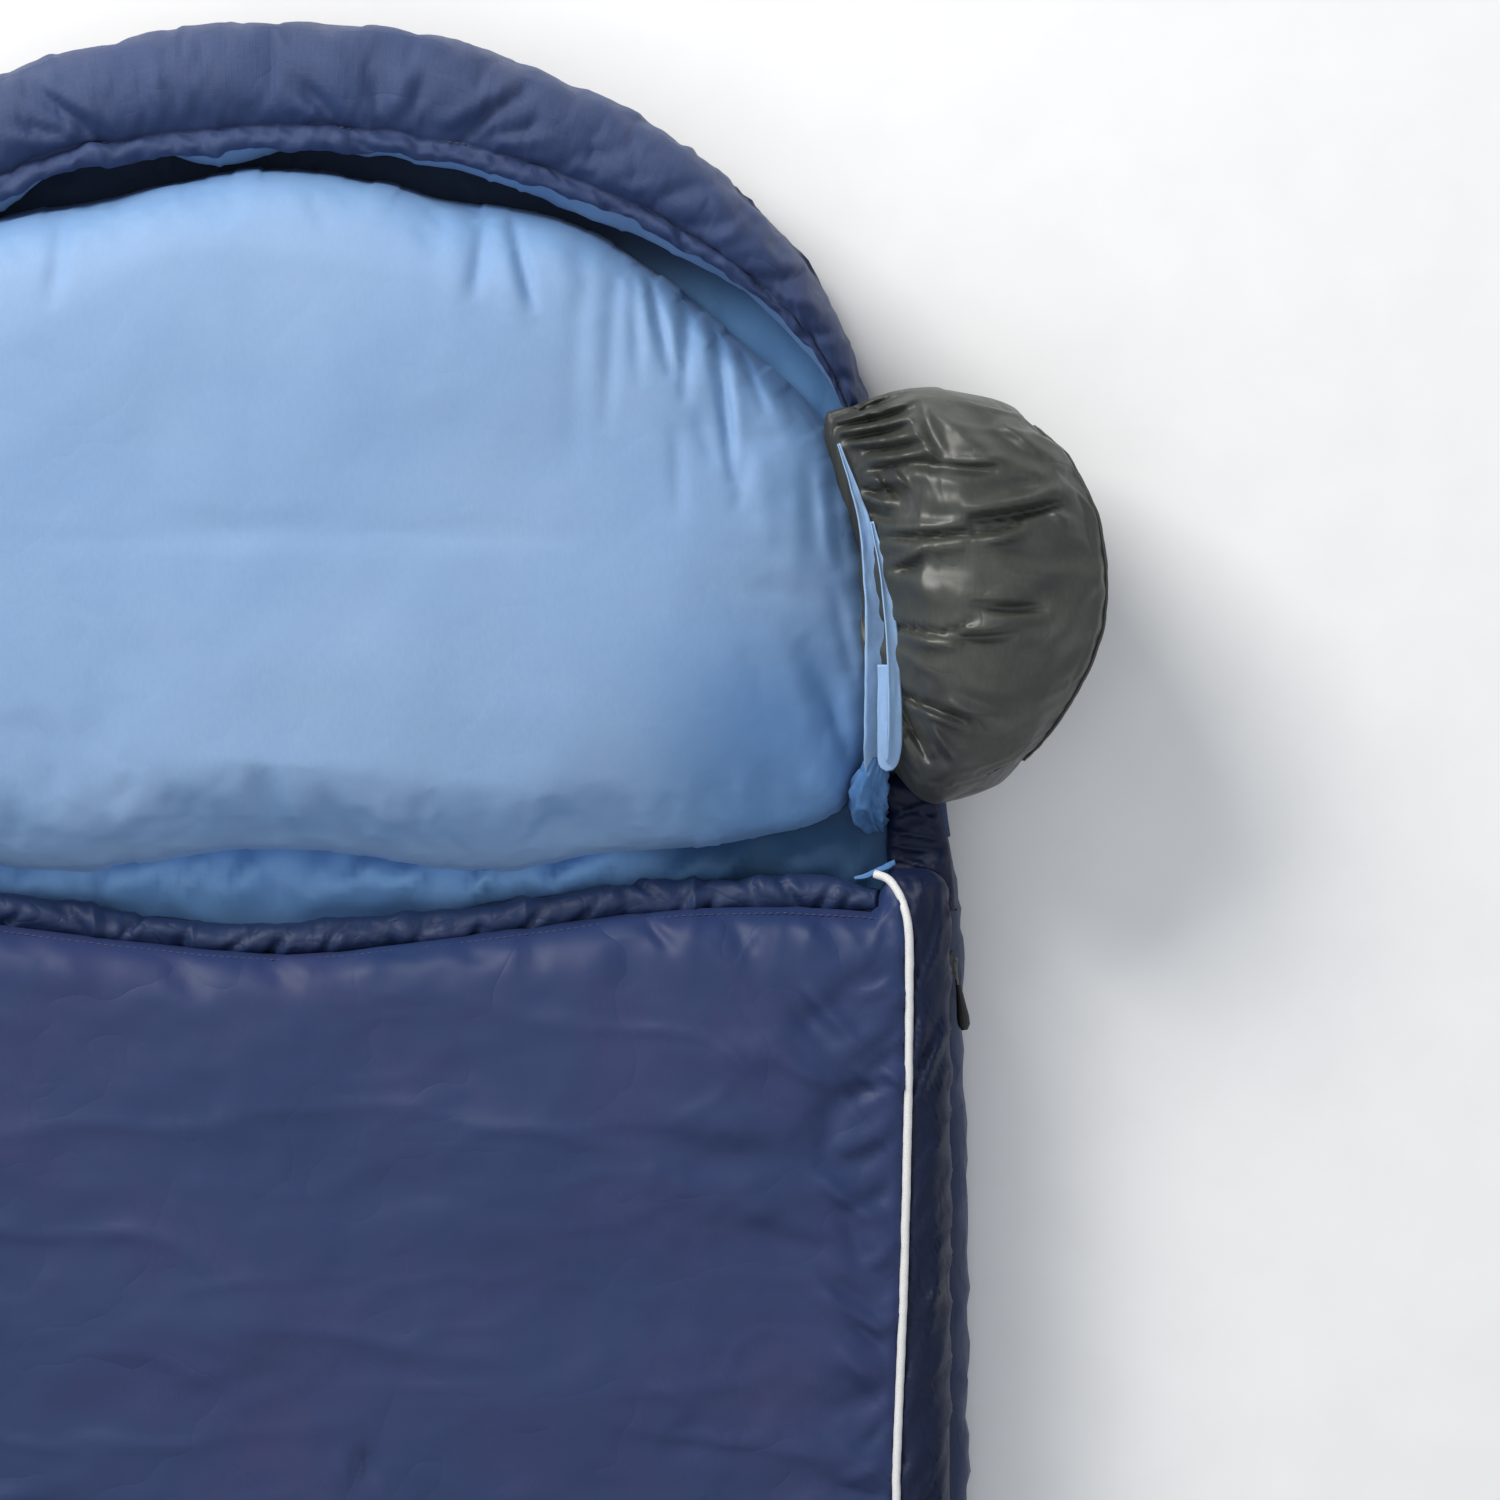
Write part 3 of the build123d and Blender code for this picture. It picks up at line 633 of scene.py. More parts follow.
def fabric(name, base, dark=None, light=None, rough=0.55, spec=0.35, sheen=0.2, sheen_rough=0.4, sheen_tint=(1, 1, 1),
           pitch=0.55, weave=0.10, rip=0.0, rip_h=0.12, rip_tint=0.10, twill=0.0, crinkle=0.0, crinkle_mm=14.0, mottle=0.10, mottle_mm=70.0,
           coat=0.0, coat_rough=0.3, streak=0.0, local=False, wear_and_sheen=0.10, painted_slope_shade=None, painted_slope_shade_k=2.2, detail=2.5, painted_light_and_shade=()):
    g = Graph(name)
    v = g.local() if local else g.cloth()
    x, y, z = g.split(v)
    # colour: broad mottling, thread-scale flecks, and a little lightening on raised folds, partly pile and partly
    # painted sheen
    big = g.noise(v, 1.0 / mottle_mm, 4.0, 0.55)
    small = g.noise(g.scaled(v, 0.9, 0.35, 0.9), 0.6, 2.0, 0.6)
    fac = g.math("MULTIPLY_ADD", small, 0.30, g.math("MULTIPLY", big, 0.70))
    dark = dark or shade(base, 1 - mottle * 2.2)
    light = light or shade(base, 1 + mottle * 2.2)
    col = g.ramp(fac, [(0.30, dark), (0.50, base), (0.72, light)])
    # weave: warp over weft
    su = g.math("SINE", g.math("MULTIPLY", x, 2 * math.pi / pitch))
    sv = g.math("SINE", g.math("MULTIPLY", y, 2 * math.pi / pitch))
    if twill:
        sv = g.math("SINE", g.math("MULTIPLY", g.math("ADD", x, g.math("MULTIPLY", y, 1.7)), 2 * math.pi / (pitch * 2.2)))
        wv = g.math("MULTIPLY_ADD", su, 0.25, g.math("MULTIPLY", sv, 0.75))
    else:
        wv = g.math("MULTIPLY", su, sv)
    height = g.math("MULTIPLY", wv, weave * 0.12)
    if rip:
        def line(c, p):
            f = g.math("FRACT", g.math("DIVIDE", c, p))
            d = g.math("ABSOLUTE", g.math("SUBTRACT", f, 0.5))
            return g.math("GREATER_THAN", d, 0.5 - 0.055) if False else g.math("SMOOTH_MIN", g.math("MULTIPLY", g.math("SUBTRACT", d, 0.42), 14.0, clamp=True), 1.0, 0.1)
        lines = g.math("MAXIMUM", line(x, rip), line(y, rip))
        col = g.mix(g.math("MULTIPLY", lines, rip_tint), col, shade(base, 2.1))
        height = g.math("ADD", height, g.math("MULTIPLY", lines, rip_h))
    if streak:
        st = g.noise(g.scaled(v, 0.004, 0.9, 0.9), 1.0, 3.0, 0.6)
        col = g.mix(g.math("MULTIPLY", st, streak), col, shade(base, 0.7))
    # painted sheen with some pile: raised, convex folds are mixed towards a lighter colour
    point = g.n("ShaderNodeNewGeometry").outputs["Pointiness"]
    edge = g.math("MULTIPLY", g.math("SUBTRACT", point, 0.505), 9.0, clamp=True)
    col = g.mix(g.math("MULTIPLY", edge, wear_and_sheen), col, shade(base, 1.9))
    if painted_slope_shade:
        # painted shade: cloth is mixed towards a darker, more saturated blue where its surface turns away from facing
        # up
        nz = g.split(g.n("ShaderNodeNewGeometry").outputs["Normal"])[2]
        turn = g.math("MINIMUM", g.math("MULTIPLY", g.math("SUBTRACT", 0.97, g.math("ABSOLUTE", nz)), painted_slope_shade_k, clamp=True), 0.45)
        col = g.mix(turn, col, painted_slope_shade)
    for axis, lo, hi, other, tone, most in painted_light_and_shade:
        # painted light and shade: the colour is mixed towards tone over an axis and its range, then ranges over y that
        # it is kept to; dark tones stand for shade in hollows and under overhangs, a light tone for light on a slope
        c = {"x": g.math("ABSOLUTE", x), "y": y, "z": z}[axis]
        keep = most
        for c, a, b in [(c, lo, hi)] + [(y, *r) for r in other]:
            k = g.n("ShaderNodeMapRange", interpolation_type="SMOOTHSTEP")
            g.put(k.inputs[0], c)
            k.inputs[1].default_value, k.inputs[2].default_value = a, b
            keep = g.math("MULTIPLY", keep, k.outputs[0])
        col = g.mix(keep, col, tone)
    if crinkle:
        c1 = g.noise(v, 1.0 / crinkle_mm, detail, 0.5, 0.3)
        fold = g.math("ABSOLUTE", g.math("SUBTRACT", c1, 0.5))
        height = g.math("ADD", height, g.math("MULTIPLY", g.math("POWER", g.math("MULTIPLY", fold, 2.0), 0.7), crinkle))
    n = g.bump(height, 1.0, 0.001)
    r = g.math("ADD", rough - 0.06, g.math("MULTIPLY", big, 0.12))
    g.set(color=col, rough=r, spec=spec, sheen=sheen, sheen_rough=sheen_rough, sheen_tint=sheen_tint, normal=n, coat=coat, coat_rough=coat_rough)
    g.m.diffuse_color = (*base, 1)
    return g.m


def plastic(name, base, rough=0.42, grain=0.05, metal=0.0, wear_col=None, wear_and_sheen=0.4, scratch=0.0):
    g = Graph(name)
    v = g.local()
    big = g.noise(v, 0.12, 4.0)
    fine = g.noise(v, 3.0, 3.0, 0.6)
    col = g.ramp(big, [(0.3, shade(base, 0.75)), (0.7, shade(base, 1.35))])
    point = g.n("ShaderNodeNewGeometry").outputs["Pointiness"]
    edge = g.math("MULTIPLY", g.math("SUBTRACT", point, 0.53), 8.0, clamp=True)
    worn = g.math("MULTIPLY", edge, g.math("MULTIPLY", g.noise(v, 0.8, 3.0), wear_and_sheen * 1.6), clamp=True)
    col = g.mix(worn, col, wear_col or shade(base, 4.0))
    h = g.math("MULTIPLY", fine, grain)
    if scratch:
        h = g.math("ADD", h, g.math("MULTIPLY", g.noise(g.scaled(v, 0.2, 3.0, 3.0), 2.0, 2.0), scratch))
    r = g.math("ADD", rough - 0.08, g.math("MULTIPLY", big, 0.16))
    g.set(color=col, rough=r, metal=metal, spec=0.5, normal=g.bump(h, 1.0, 0.001))
    return g.m


def braid(name, base, pitch=2.0, rough=0.7, twist=0.0, height=0.25, local=False):
    """Braided cord or woven piping: u along the cord, v round it, both in millimetres."""
    g = Graph(name)
    v = g.local() if local else g.cloth()
    x, y, z = g.split(v)
    k = 2 * math.pi / pitch
    a = g.math("SINE", g.math("MULTIPLY", g.math("ADD", x, g.math("MULTIPLY", y, 1.0)), k))
    b = g.math("SINE", g.math("MULTIPLY", g.math("SUBTRACT", x, g.math("MULTIPLY", y, 1.0)), k))
    w = g.math("MULTIPLY", a, b) if not twist else a
    fine = g.noise(v, 1.2, 3.0)
    col = g.ramp(g.math("MULTIPLY_ADD", w, 0.18, g.math("MULTIPLY", fine, 0.9)), [(0.2, shade(base, 0.72)), (0.75, shade(base, 1.12))])
    soil = g.noise(v, 0.03, 4.0)
    col = g.mix(g.math("MULTIPLY", g.math("SUBTRACT", soil, 0.5), 0.5, clamp=True), col, shade(base, 0.7))
    g.set(color=col, rough=rough, spec=0.25, sheen=0.25, sheen_rough=0.5, normal=g.bump(g.math("MULTIPLY", w, height), 1.0, 0.001))
    return g.m


NAVY = (0.026, 0.048, 0.136)
NAVY2 = (0.0135, 0.025, 0.074)
BLUE = (0.236, 0.368, 0.592)
GREY = (0.042, 0.045, 0.038)
M = {
    "rim": fabric("navy_ripstop", NAVY, rough=0.50, spec=0.42, sheen=0.12, sheen_rough=0.35, sheen_tint=(0.55, 0.66, 1.0), rip=3.4,
                  rip_h=0.08, rip_tint=0.07, weave=0.4, crinkle=1.3, crinkle_mm=48.0, mottle=0.08, wear_and_sheen=0.06),
    "shell": fabric("navy_shell", NAVY2, rough=0.50, spec=0.40, sheen=0.10, sheen_tint=(0.55, 0.66, 1.0), rip=3.4, rip_h=0.07, rip_tint=0.05,
                    crinkle=1.5, crinkle_mm=40.0, mottle=0.10, wear_and_sheen=0.05),
    "cover": fabric("navy_satin", (0.0215, 0.0385, 0.120), dark=(0.0165, 0.0375, 0.116), light=(0.036, 0.041, 0.122), rough=0.50, spec=0.32, sheen=0.05,
                    sheen_rough=0.3, sheen_tint=(0.6, 0.66, 1.0), twill=1.0, weave=0.20, crinkle=1.7, crinkle_mm=95.0, mottle=0.09, mottle_mm=85.0,
                    streak=0.10, wear_and_sheen=0.05),
    # painted shade: a darker copy of the satin for the drawcord tunnel
    "collar": fabric("navy_satin_gather", (0.0178, 0.0350, 0.100), rough=0.47, spec=0.34, sheen=0.03, sheen_tint=(0.6, 0.66, 1.0), twill=1.0, weave=0.25,
                     crinkle=1.2, crinkle_mm=22.0, mottle=0.10, wear_and_sheen=0.04),
    # painted shade: a much darker copy of the navy for the steep side strip and the neck folds
    "side": fabric("navy_side", (0.0050, 0.0105, 0.038), rough=0.46, spec=0.24, sheen=0.03, sheen_tint=(0.6, 0.66, 1.0), twill=1.0, weave=0.25,
                   crinkle=1.6, crinkle_mm=34.0, mottle=0.12, wear_and_sheen=0.04),
    "blue": fabric("light_blue", BLUE, dark=(0.205, 0.342, 0.574), light=(0.268, 0.396, 0.604), rough=0.60, spec=0.30, sheen=0.08, sheen_rough=0.5,
                   sheen_tint=(0.7, 0.85, 1.0), weave=0.22, crinkle=0.45, crinkle_mm=70.0, mottle=0.05, mottle_mm=150.0, wear_and_sheen=0.03, painted_slope_shade=(0.110, 0.262, 0.545), painted_slope_shade_k=1.6),
    "liner": fabric("blue_cover_lining", (0.205, 0.410, 0.740), dark=(0.175, 0.368, 0.690), light=(0.232, 0.442, 0.775), rough=0.6, spec=0.28, sheen=0.06,
                    sheen_tint=(0.7, 0.85, 1.0), weave=0.22, crinkle=0.8, crinkle_mm=40.0, mottle=0.06, wear_and_sheen=0.03, painted_slope_shade=(0.075, 0.205, 0.480), painted_slope_shade_k=2.0),
    "blue2": fabric("blue_lining", (0.205, 0.410, 0.740), dark=(0.175, 0.368, 0.690), light=(0.232, 0.442, 0.775), rough=0.6, spec=0.28, sheen=0.06,
                    sheen_tint=(0.7, 0.85, 1.0), weave=0.22, crinkle=0.8, crinkle_mm=40.0, mottle=0.06, wear_and_sheen=0.03, painted_slope_shade=(0.075, 0.205, 0.480), painted_slope_shade_k=2.0,
                    # painted shade: the lining is darkened towards the sides at the neck, beside the pillow's lower
                    # corners and in the gap under the rim at the crown
                    painted_light_and_shade=[("x", 175.0, 262.0, ((500.0, 560.0), (690.0, 640.0)), (0.030, 0.085, 0.180), 1.0),
                           ("x", 150.0, 240.0, ((660.0, 760.0),), (0.085, 0.215, 0.430), 0.85), ("y", 925.0, 985.0, (), (0.018, 0.038, 0.085), 1.0)]),
    "pillow": fabric("light_blue_pillow", BLUE, dark=(0.205, 0.342, 0.574), light=(0.268, 0.396, 0.604), rough=0.60, spec=0.30, sheen=0.08, sheen_rough=0.5,
                     sheen_tint=(0.7, 0.85, 1.0), weave=0.22, crinkle=0.45, crinkle_mm=70.0, mottle=0.05, mottle_mm=150.0, wear_and_sheen=0.03, painted_slope_shade=(0.120, 0.285, 0.560), painted_slope_shade_k=1.3,
                     # painted light and shade: the pillow's lower slope is lightened; its lower outer corners and its
                     # slopes under the rim are darkened
                     painted_light_and_shade=[("z", 126.0, 96.0, ((700.0, 645.0),), (0.315, 0.490, 0.745), 0.75), ("x", 188.0, 285.0, ((785.0, 690.0),), (0.090, 0.240, 0.520), 0.68), ("z", 121.0, 84.0, ((790.0, 890.0),), (0.060, 0.150, 0.345), 0.72)]),
    # painted shade: a darker copy of the blue lining for the pocket's bunched end and the corner fold
    "gather": fabric("blue_gather", (0.110, 0.250, 0.500), dark=(0.075, 0.185, 0.400), light=(0.15, 0.30, 0.56), rough=0.6, spec=0.26, sheen=0.05,
                     sheen_tint=(0.7, 0.85, 1.0), weave=0.22, crinkle=0.5, crinkle_mm=20.0, mottle=0.06, wear_and_sheen=0.03, painted_slope_shade=(0.045, 0.135, 0.330), painted_slope_shade_k=2.0),
    "tape": fabric("pale_blue_tape", (0.300, 0.475, 0.750), rough=0.46, spec=0.40, sheen=0.10, weave=0.5, pitch=0.8, mottle=0.06, streak=0.15),
    "grey": fabric("grey_nylon", GREY, dark=(0.030, 0.032, 0.035), light=(0.062, 0.067, 0.056), rough=0.40, spec=0.56, sheen=0.04,
                   pitch=0.5, weave=0.12, crinkle=0.9, crinkle_mm=40.0, mottle=0.12, coat=0.05, coat_rough=0.34, wear_and_sheen=0.04),
    "binding": fabric("navy_binding", (0.020, 0.028, 0.062), rough=0.6, spec=0.3, sheen=0.2, weave=0.8, pitch=0.9, mottle=0.12),
    "tape_navy": fabric("zip_tape", (0.016, 0.021, 0.045), rough=0.7, spec=0.25, sheen=0.2, weave=1.2, pitch=0.9, twill=1.0, mottle=0.1),
    "piping": braid("white_piping", (0.92, 0.91, 0.88), pitch=1.1, rough=0.6, height=0.07),
    "cord": braid("drawcord", (0.030, 0.036, 0.055), pitch=1.6, rough=0.6, height=0.22),
    "thread": braid("navy_thread", (0.055, 0.075, 0.160), pitch=0.5, rough=0.55, twist=1.0, height=0.05),
    "coil": plastic("zip_coil", (0.020, 0.022, 0.030), rough=0.38, grain=0.02),
    "zip_metal": plastic("zip_lacquer", (0.016, 0.016, 0.017), rough=0.32, grain=0.02, metal=0.6, wear_col=(0.32, 0.31, 0.29), wear_and_sheen=0.5, scratch=0.03),
    "steel": plastic("spring_steel", (0.45, 0.46, 0.48), rough=0.28, grain=0.01, metal=1.0, wear_and_sheen=0.2, scratch=0.02),
    "grip": plastic("grip_rubber", (0.012, 0.012, 0.013), rough=0.62, grain=0.12, wear_col=(0.05, 0.05, 0.05)),
    "lock": plastic("lock_plastic", (0.018, 0.018, 0.020), rough=0.45, grain=0.07, wear_col=(0.09, 0.09, 0.09)),
}


def repaint(node, key):
    o = N[node]
    o.data.materials.clear()
    o.data.materials.append(M[key])
    o.data.polygons.foreach_set("material_index", [0] * len(o.data.polygons))


for node, key in (("side_slider", "zip_metal"), ("side_pull", "zip_metal"), ("side_grip", "grip"), ("foot_slider", "zip_metal"),
                  ("foot_pull", "zip_metal"), ("foot_grip", "grip"), ("zip_stops_lower", "zip_metal"), ("zip_stops_upper", "zip_metal"),
                  ("collar_lock_body", "lock"), ("collar_lock_button", "lock"), ("collar_lock_spring", "steel"),
                  ("hood_lock_body", "lock"), ("hood_lock_button", "lock"), ("hood_lock_spring", "steel")):
    repaint(node, key)


# ------------------------------------------------------------------ outlines, in millimetres
HOOD_R = [(392, Y_NECK), (384, 655), (375, 725), (365, 790), (352, 855), (341, 892), (323, 940), (289, 987), (254, 1018),
          (220, 1041), (185, 1060), (151, 1074), (100, 1089), (50, 1097), (0, Y_CROWN)]
CORNER = [(HALF - 70 + 70 * math.sin(math.radians(a)), Y_FOOT + 70 - 70 * math.cos(math.radians(a))) for a in range(0, 91, 6)]
RIGHT = CORNER + [(HALF + 1.5, -700), (HALF - 1, -300), (HALF + 1, 0), (HALF + 1.5, 250), (HALF, 420), (397, 540)] + HOOD_R
_r = spline(RIGHT, 900)
RY, RX = _r[:, 1], _r[:, 0]
OUT_POLY = [(x, y) for x, y in RIGHT] + [(-x, y) for x, y in reversed(RIGHT[:-1])]


def out_w(y):
    return np.interp(y, RY, RX)


def head_edge(x):
    """Head edge of the cover: follows the scoop of the collar."""
    ax = np.abs(np.asarray(x, float))
    return np.interp(ax, [0, 40, 100, 155, 200, 243, 294, 340, 400], [578.5, 581, 587.5, 594.5, 601, 604.5, 605.5, 603, 596])


def pipe_x(y):
    return np.interp(y, [-1100, -700, -300, 0, 262, 307, 365, 422, 500, 566, 580, 592, 601, 607, 611, 614],
                     [359, 361, 357.5, 360.5, 357.5, 359, 361.5, 363.0, 364.8, 365.0, 364.2, 361.5, 357.5, 352, 346, 340])


def bulge(d, w, p=2.2):
    t = np.clip(np.asarray(d, float) / w, 0, 1)
    return (1 - (1 - t) ** p) ** (1 / p)


def strokes(x, y, rows):
    """Sum of soft creases: (x0, y0, x1, y1, width, height)."""
    out = np.zeros(np.shape(x))
    for x0, y0, x1, y1, w, h in rows:
        dx, dy = x1 - x0, y1 - y0
        L = math.hypot(dx, dy)
        t = ((x - x0) * dx + (y - y0) * dy) / (L * L)
        tc = np.clip(t, 0, 1)
        bend = w * 0.9 * np.sin(tc * math.pi)
        d = np.hypot(x - x0 - tc * dx, y - y0 - tc * dy + bend * 0.4)
        out += h * np.exp(-(d / w) ** 2) * np.sin(np.pi * (0.08 + 0.84 * tc)) ** 0.8
    return out


def crease(o, rows, gain=1.0, lo=0.05, hi=0.5, z_min=None):
    """Presses soft creases into the upward-facing part of a piece."""
    co = co_of(o) / MM
    nz = normals_of(o)[:, 2]
    if nz[np.argmax(co[:, 2])] < 0:
        nz = -nz
    w = smooth(lo, hi, nz)
    if z_min is not None:
        w = w * smooth(z_min, z_min + 8, co[:, 2])
    co[:, 2] += strokes(co[:, 0], co[:, 1], rows) * w * gain
    put_co(o, co * MM)


def sheet_pad(name, X, Y, ZT, ZB, mats, coord=None, top_only=False):
    """Closed pad from a grid of plan points: upper and lower surfaces share the grid's border."""
    nu, nv = X.shape
    top = np.stack([X, Y, ZT], -1).reshape(-1, 3)
    bot = np.stack([X, Y, ZB], -1).reshape(-1, 3)
    idx_b = -np.ones(nu * nv, int)
    border = np.zeros((nu, nv), bool)
    border[0, :] = border[-1, :] = border[:, 0] = border[:, -1] = True
    border = border.ravel()
    k = nu * nv
    extra = []
    for i in range(nu * nv):
        if border[i]:
            idx_b[i] = i
        else:
            idx_b[i] = k
            extra.append(i)
            k += 1
    V = np.vstack([top, bot[extra]])
    F = [tuple(q[::-1]) for q in grid_faces(nu, nv)]
    G = [tuple(int(idx_b[i]) for i in q) for q in grid_faces(nu, nv)]
    C = V if coord is None else np.vstack([coord, coord[extra]])
    return make_mesh(name, V, F + G, mats, C), F, G


# ------------------------------------------------------------------ lower quilt and hood back: one skin across the neck
def build_base_shell():
    ys = np.r_[np.array([Y_FOOT + 70 - 70 * math.cos(math.radians(a)) for a in np.linspace(0, 90, 16)]),
               np.linspace(Y_FOOT + 70, 560, 150)[1:], np.linspace(560, 900, 60)[1:]]
    top = [r for r in spline(HOOD_R, 120) if r[1] > 902]
    ys = np.r_[ys, [r[1] for r in top]]
    t = np.linspace(-1, 1, 96)
    s = np.sin(t * math.pi / 2) * 0.75 + t * 0.25
    Y = np.repeat(ys[:, None], len(s), 1)
    W = out_w(ys)[:, None]
    X = W * s[None, :]
    d = np.maximum(poly_dist(X, Y, OUT_POLY), 0)
    run = np.where(np.abs(X) / np.maximum(W, 1) > 0.5, Y, X)
    ZT = 22 + 25.0 * bulge(d, 16)
    ZB = 22 - 21.5 * bulge(d, 22)
    # sewn channels across the underside and the puckers they draw into the side wall
    chan = np.abs(((Y + 1100) % 275.0) - 137.5)
    ZB = ZB + 6.5 * np.exp(-((137.5 - chan) / 9.0) ** 2) * smooth(4, 40, d)
    obj, F, G = sheet_pad("base_shell", X, Y, ZT, ZB, [M["shell"]])
    co = co_of(obj) / MM
    nrm = vertex_normals(co, faces_of(obj))
    x, y, z = co.T
    dd = np.maximum(poly_dist(x, y, OUT_POLY), 0)
    side = np.exp(-(dd / 16.0) ** 2)
    s_run = np.where(np.abs(x) > np.abs(out_w(y)) * 0.8, y, x)
    pk = 2.6 * ridge(s_run / 21.0 + z / 60.0, z / 75.0, 3) + 1.4 * ridge(s_run / 9.5 - z / 40.0, z / 60.0, 5) + 3.0 * fbm(s_run / 95.0, z / 60.0, 9, 3)
    low = 1.2 * fbm(x / 60.0, y / 60.0, 21, 3)
    amt = side * (pk - 1.6) + np.where(z < 20, low * (1 - side), 0)
    co = co + nrm * amt[:, None]
    co[:, 2] = np.maximum(co[:, 2], 0.4)
    put_co(obj, co * MM)
    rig.replaces(obj, "bottom_shell", "bottom_insulation", "hood_back_shell", "hood_insulation")
    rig.slot(obj, "navy_ripstop")
    return obj


def build_base_lining():
    ys = np.r_[np.linspace(Y_FOOT + 17.5, Y_FOOT + 70, 10), np.linspace(Y_FOOT + 70, 540, 150)[1:], np.linspace(540, 900, 90)[1:],
               [r[1] for r in spline(HOOD_R, 100) if r[1] > 902 and r[1] < 1092]]
    s = np.linspace(-1, 1, 150)
    s = np.sin(s * math.pi / 2) * 0.3 + s * 0.7
    Y = np.repeat(ys[:, None], len(s), 1)
    W = out_w(ys)[:, None]
    inset_r = np.interp(ys, [560, 640], [17.5, 12.0])[:, None]
    inset_l = np.interp(ys, [560, 640], [2.4, 12.0])[:, None]
    corner = np.maximum(0, (Y_FOOT + 70) - ys)[:, None]
    X = np.where(s[None, :] > 0, (W - inset_r) * s[None, :], (W - inset_l) * s[None, :])
    d = np.minimum(np.minimum((W - inset_r) * (1 - np.abs(s))[None, :], Y - (Y_FOOT + 17.5)), 1095 - Y)
    d = np.maximum(d, 0)
    soft = smooth(0, 35, d)
    body = smooth(625, 585, Y)
    puff = 1.6 + 1.7 * fbm(X / 120.0, Y / 150.0, 41, 3) + 1.3 * ridge(X / 90.0 + Y / 300.0, Y / 60.0, 43)
    hoodpuff = 2.0 + 3.0 * fbm(X / 70.0, Y / 60.0, 45, 3) + 2.2 * ridge(X / 26.0, Y / 80.0, 46)
    ZT = 50.2 + soft * (puff * body + np.maximum(hoodpuff, 0) * (1 - body))
    # roll of lining across the neck, below the pillow: it stands up in soft vertical gathers
    roll = np.exp(-((Y - 607 - 0.00009 * (X ** 2)) / 17.0) ** 2) * smooth(352, 318, np.abs(X))
    gather = 0.62 + 0.62 * ridge(X / 36.0 + 0.3 * np.sin(Y / 15.0), Y / 90.0, 51, 1.2) + 0.42 * fbm(X / 19.0, Y / 40.0, 52)
    ZT = ZT + 19.0 * roll * gather
    ZT = np.where((Y < 577), np.minimum(ZT, 57.5), ZT)
    ZB = np.full_like(ZT, 48.9)
    obj, F, G = sheet_pad("base_lining", X, Y, ZT, ZB, [M["blue2"]])
    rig.replaces(obj, "bottom_lining", "hood_lining")
    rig.slot(obj, "light_blue")
    return obj


# ------------------------------------------------------------------ cover
CX0, CX1 = -396.0, HALF - 10.5
CY0 = Y_FOOT + 10.5


def cover_poly():
    pts = [(CX1 - 60 + 60 * math.sin(math.radians(a)), CY0 + 60 - 60 * math.cos(math.radians(a))) for a in range(0, 91, 6)]
    pts += [(CX1, 560), (CX1 - 0.5, 585), (CX1 - 2.0, 599)]
    pts += [(x, float(head_line(x))) for x in np.linspace(386, -376, 150)]
    pts += [(CX0 + 4, 582), (CX0, 560)]
    pts += [(CX0 + 64 - 64 * math.sin(math.radians(a)), CY0 + 60 - 60 * math.cos(math.radians(a))) for a in range(90, -1, -6)]
    return pts


def cover_w(y):
    a = np.clip((CY0 + 60 - y) / 60.0, 0, 1)
    r = 60 - 60 * np.sqrt(np.maximum(0, 1 - a * a))
    b = np.clip((y - 548) / 36.0, 0, 1)
    return r + 9.0 * (1 - np.sqrt(np.maximum(0, 1 - b * b)))


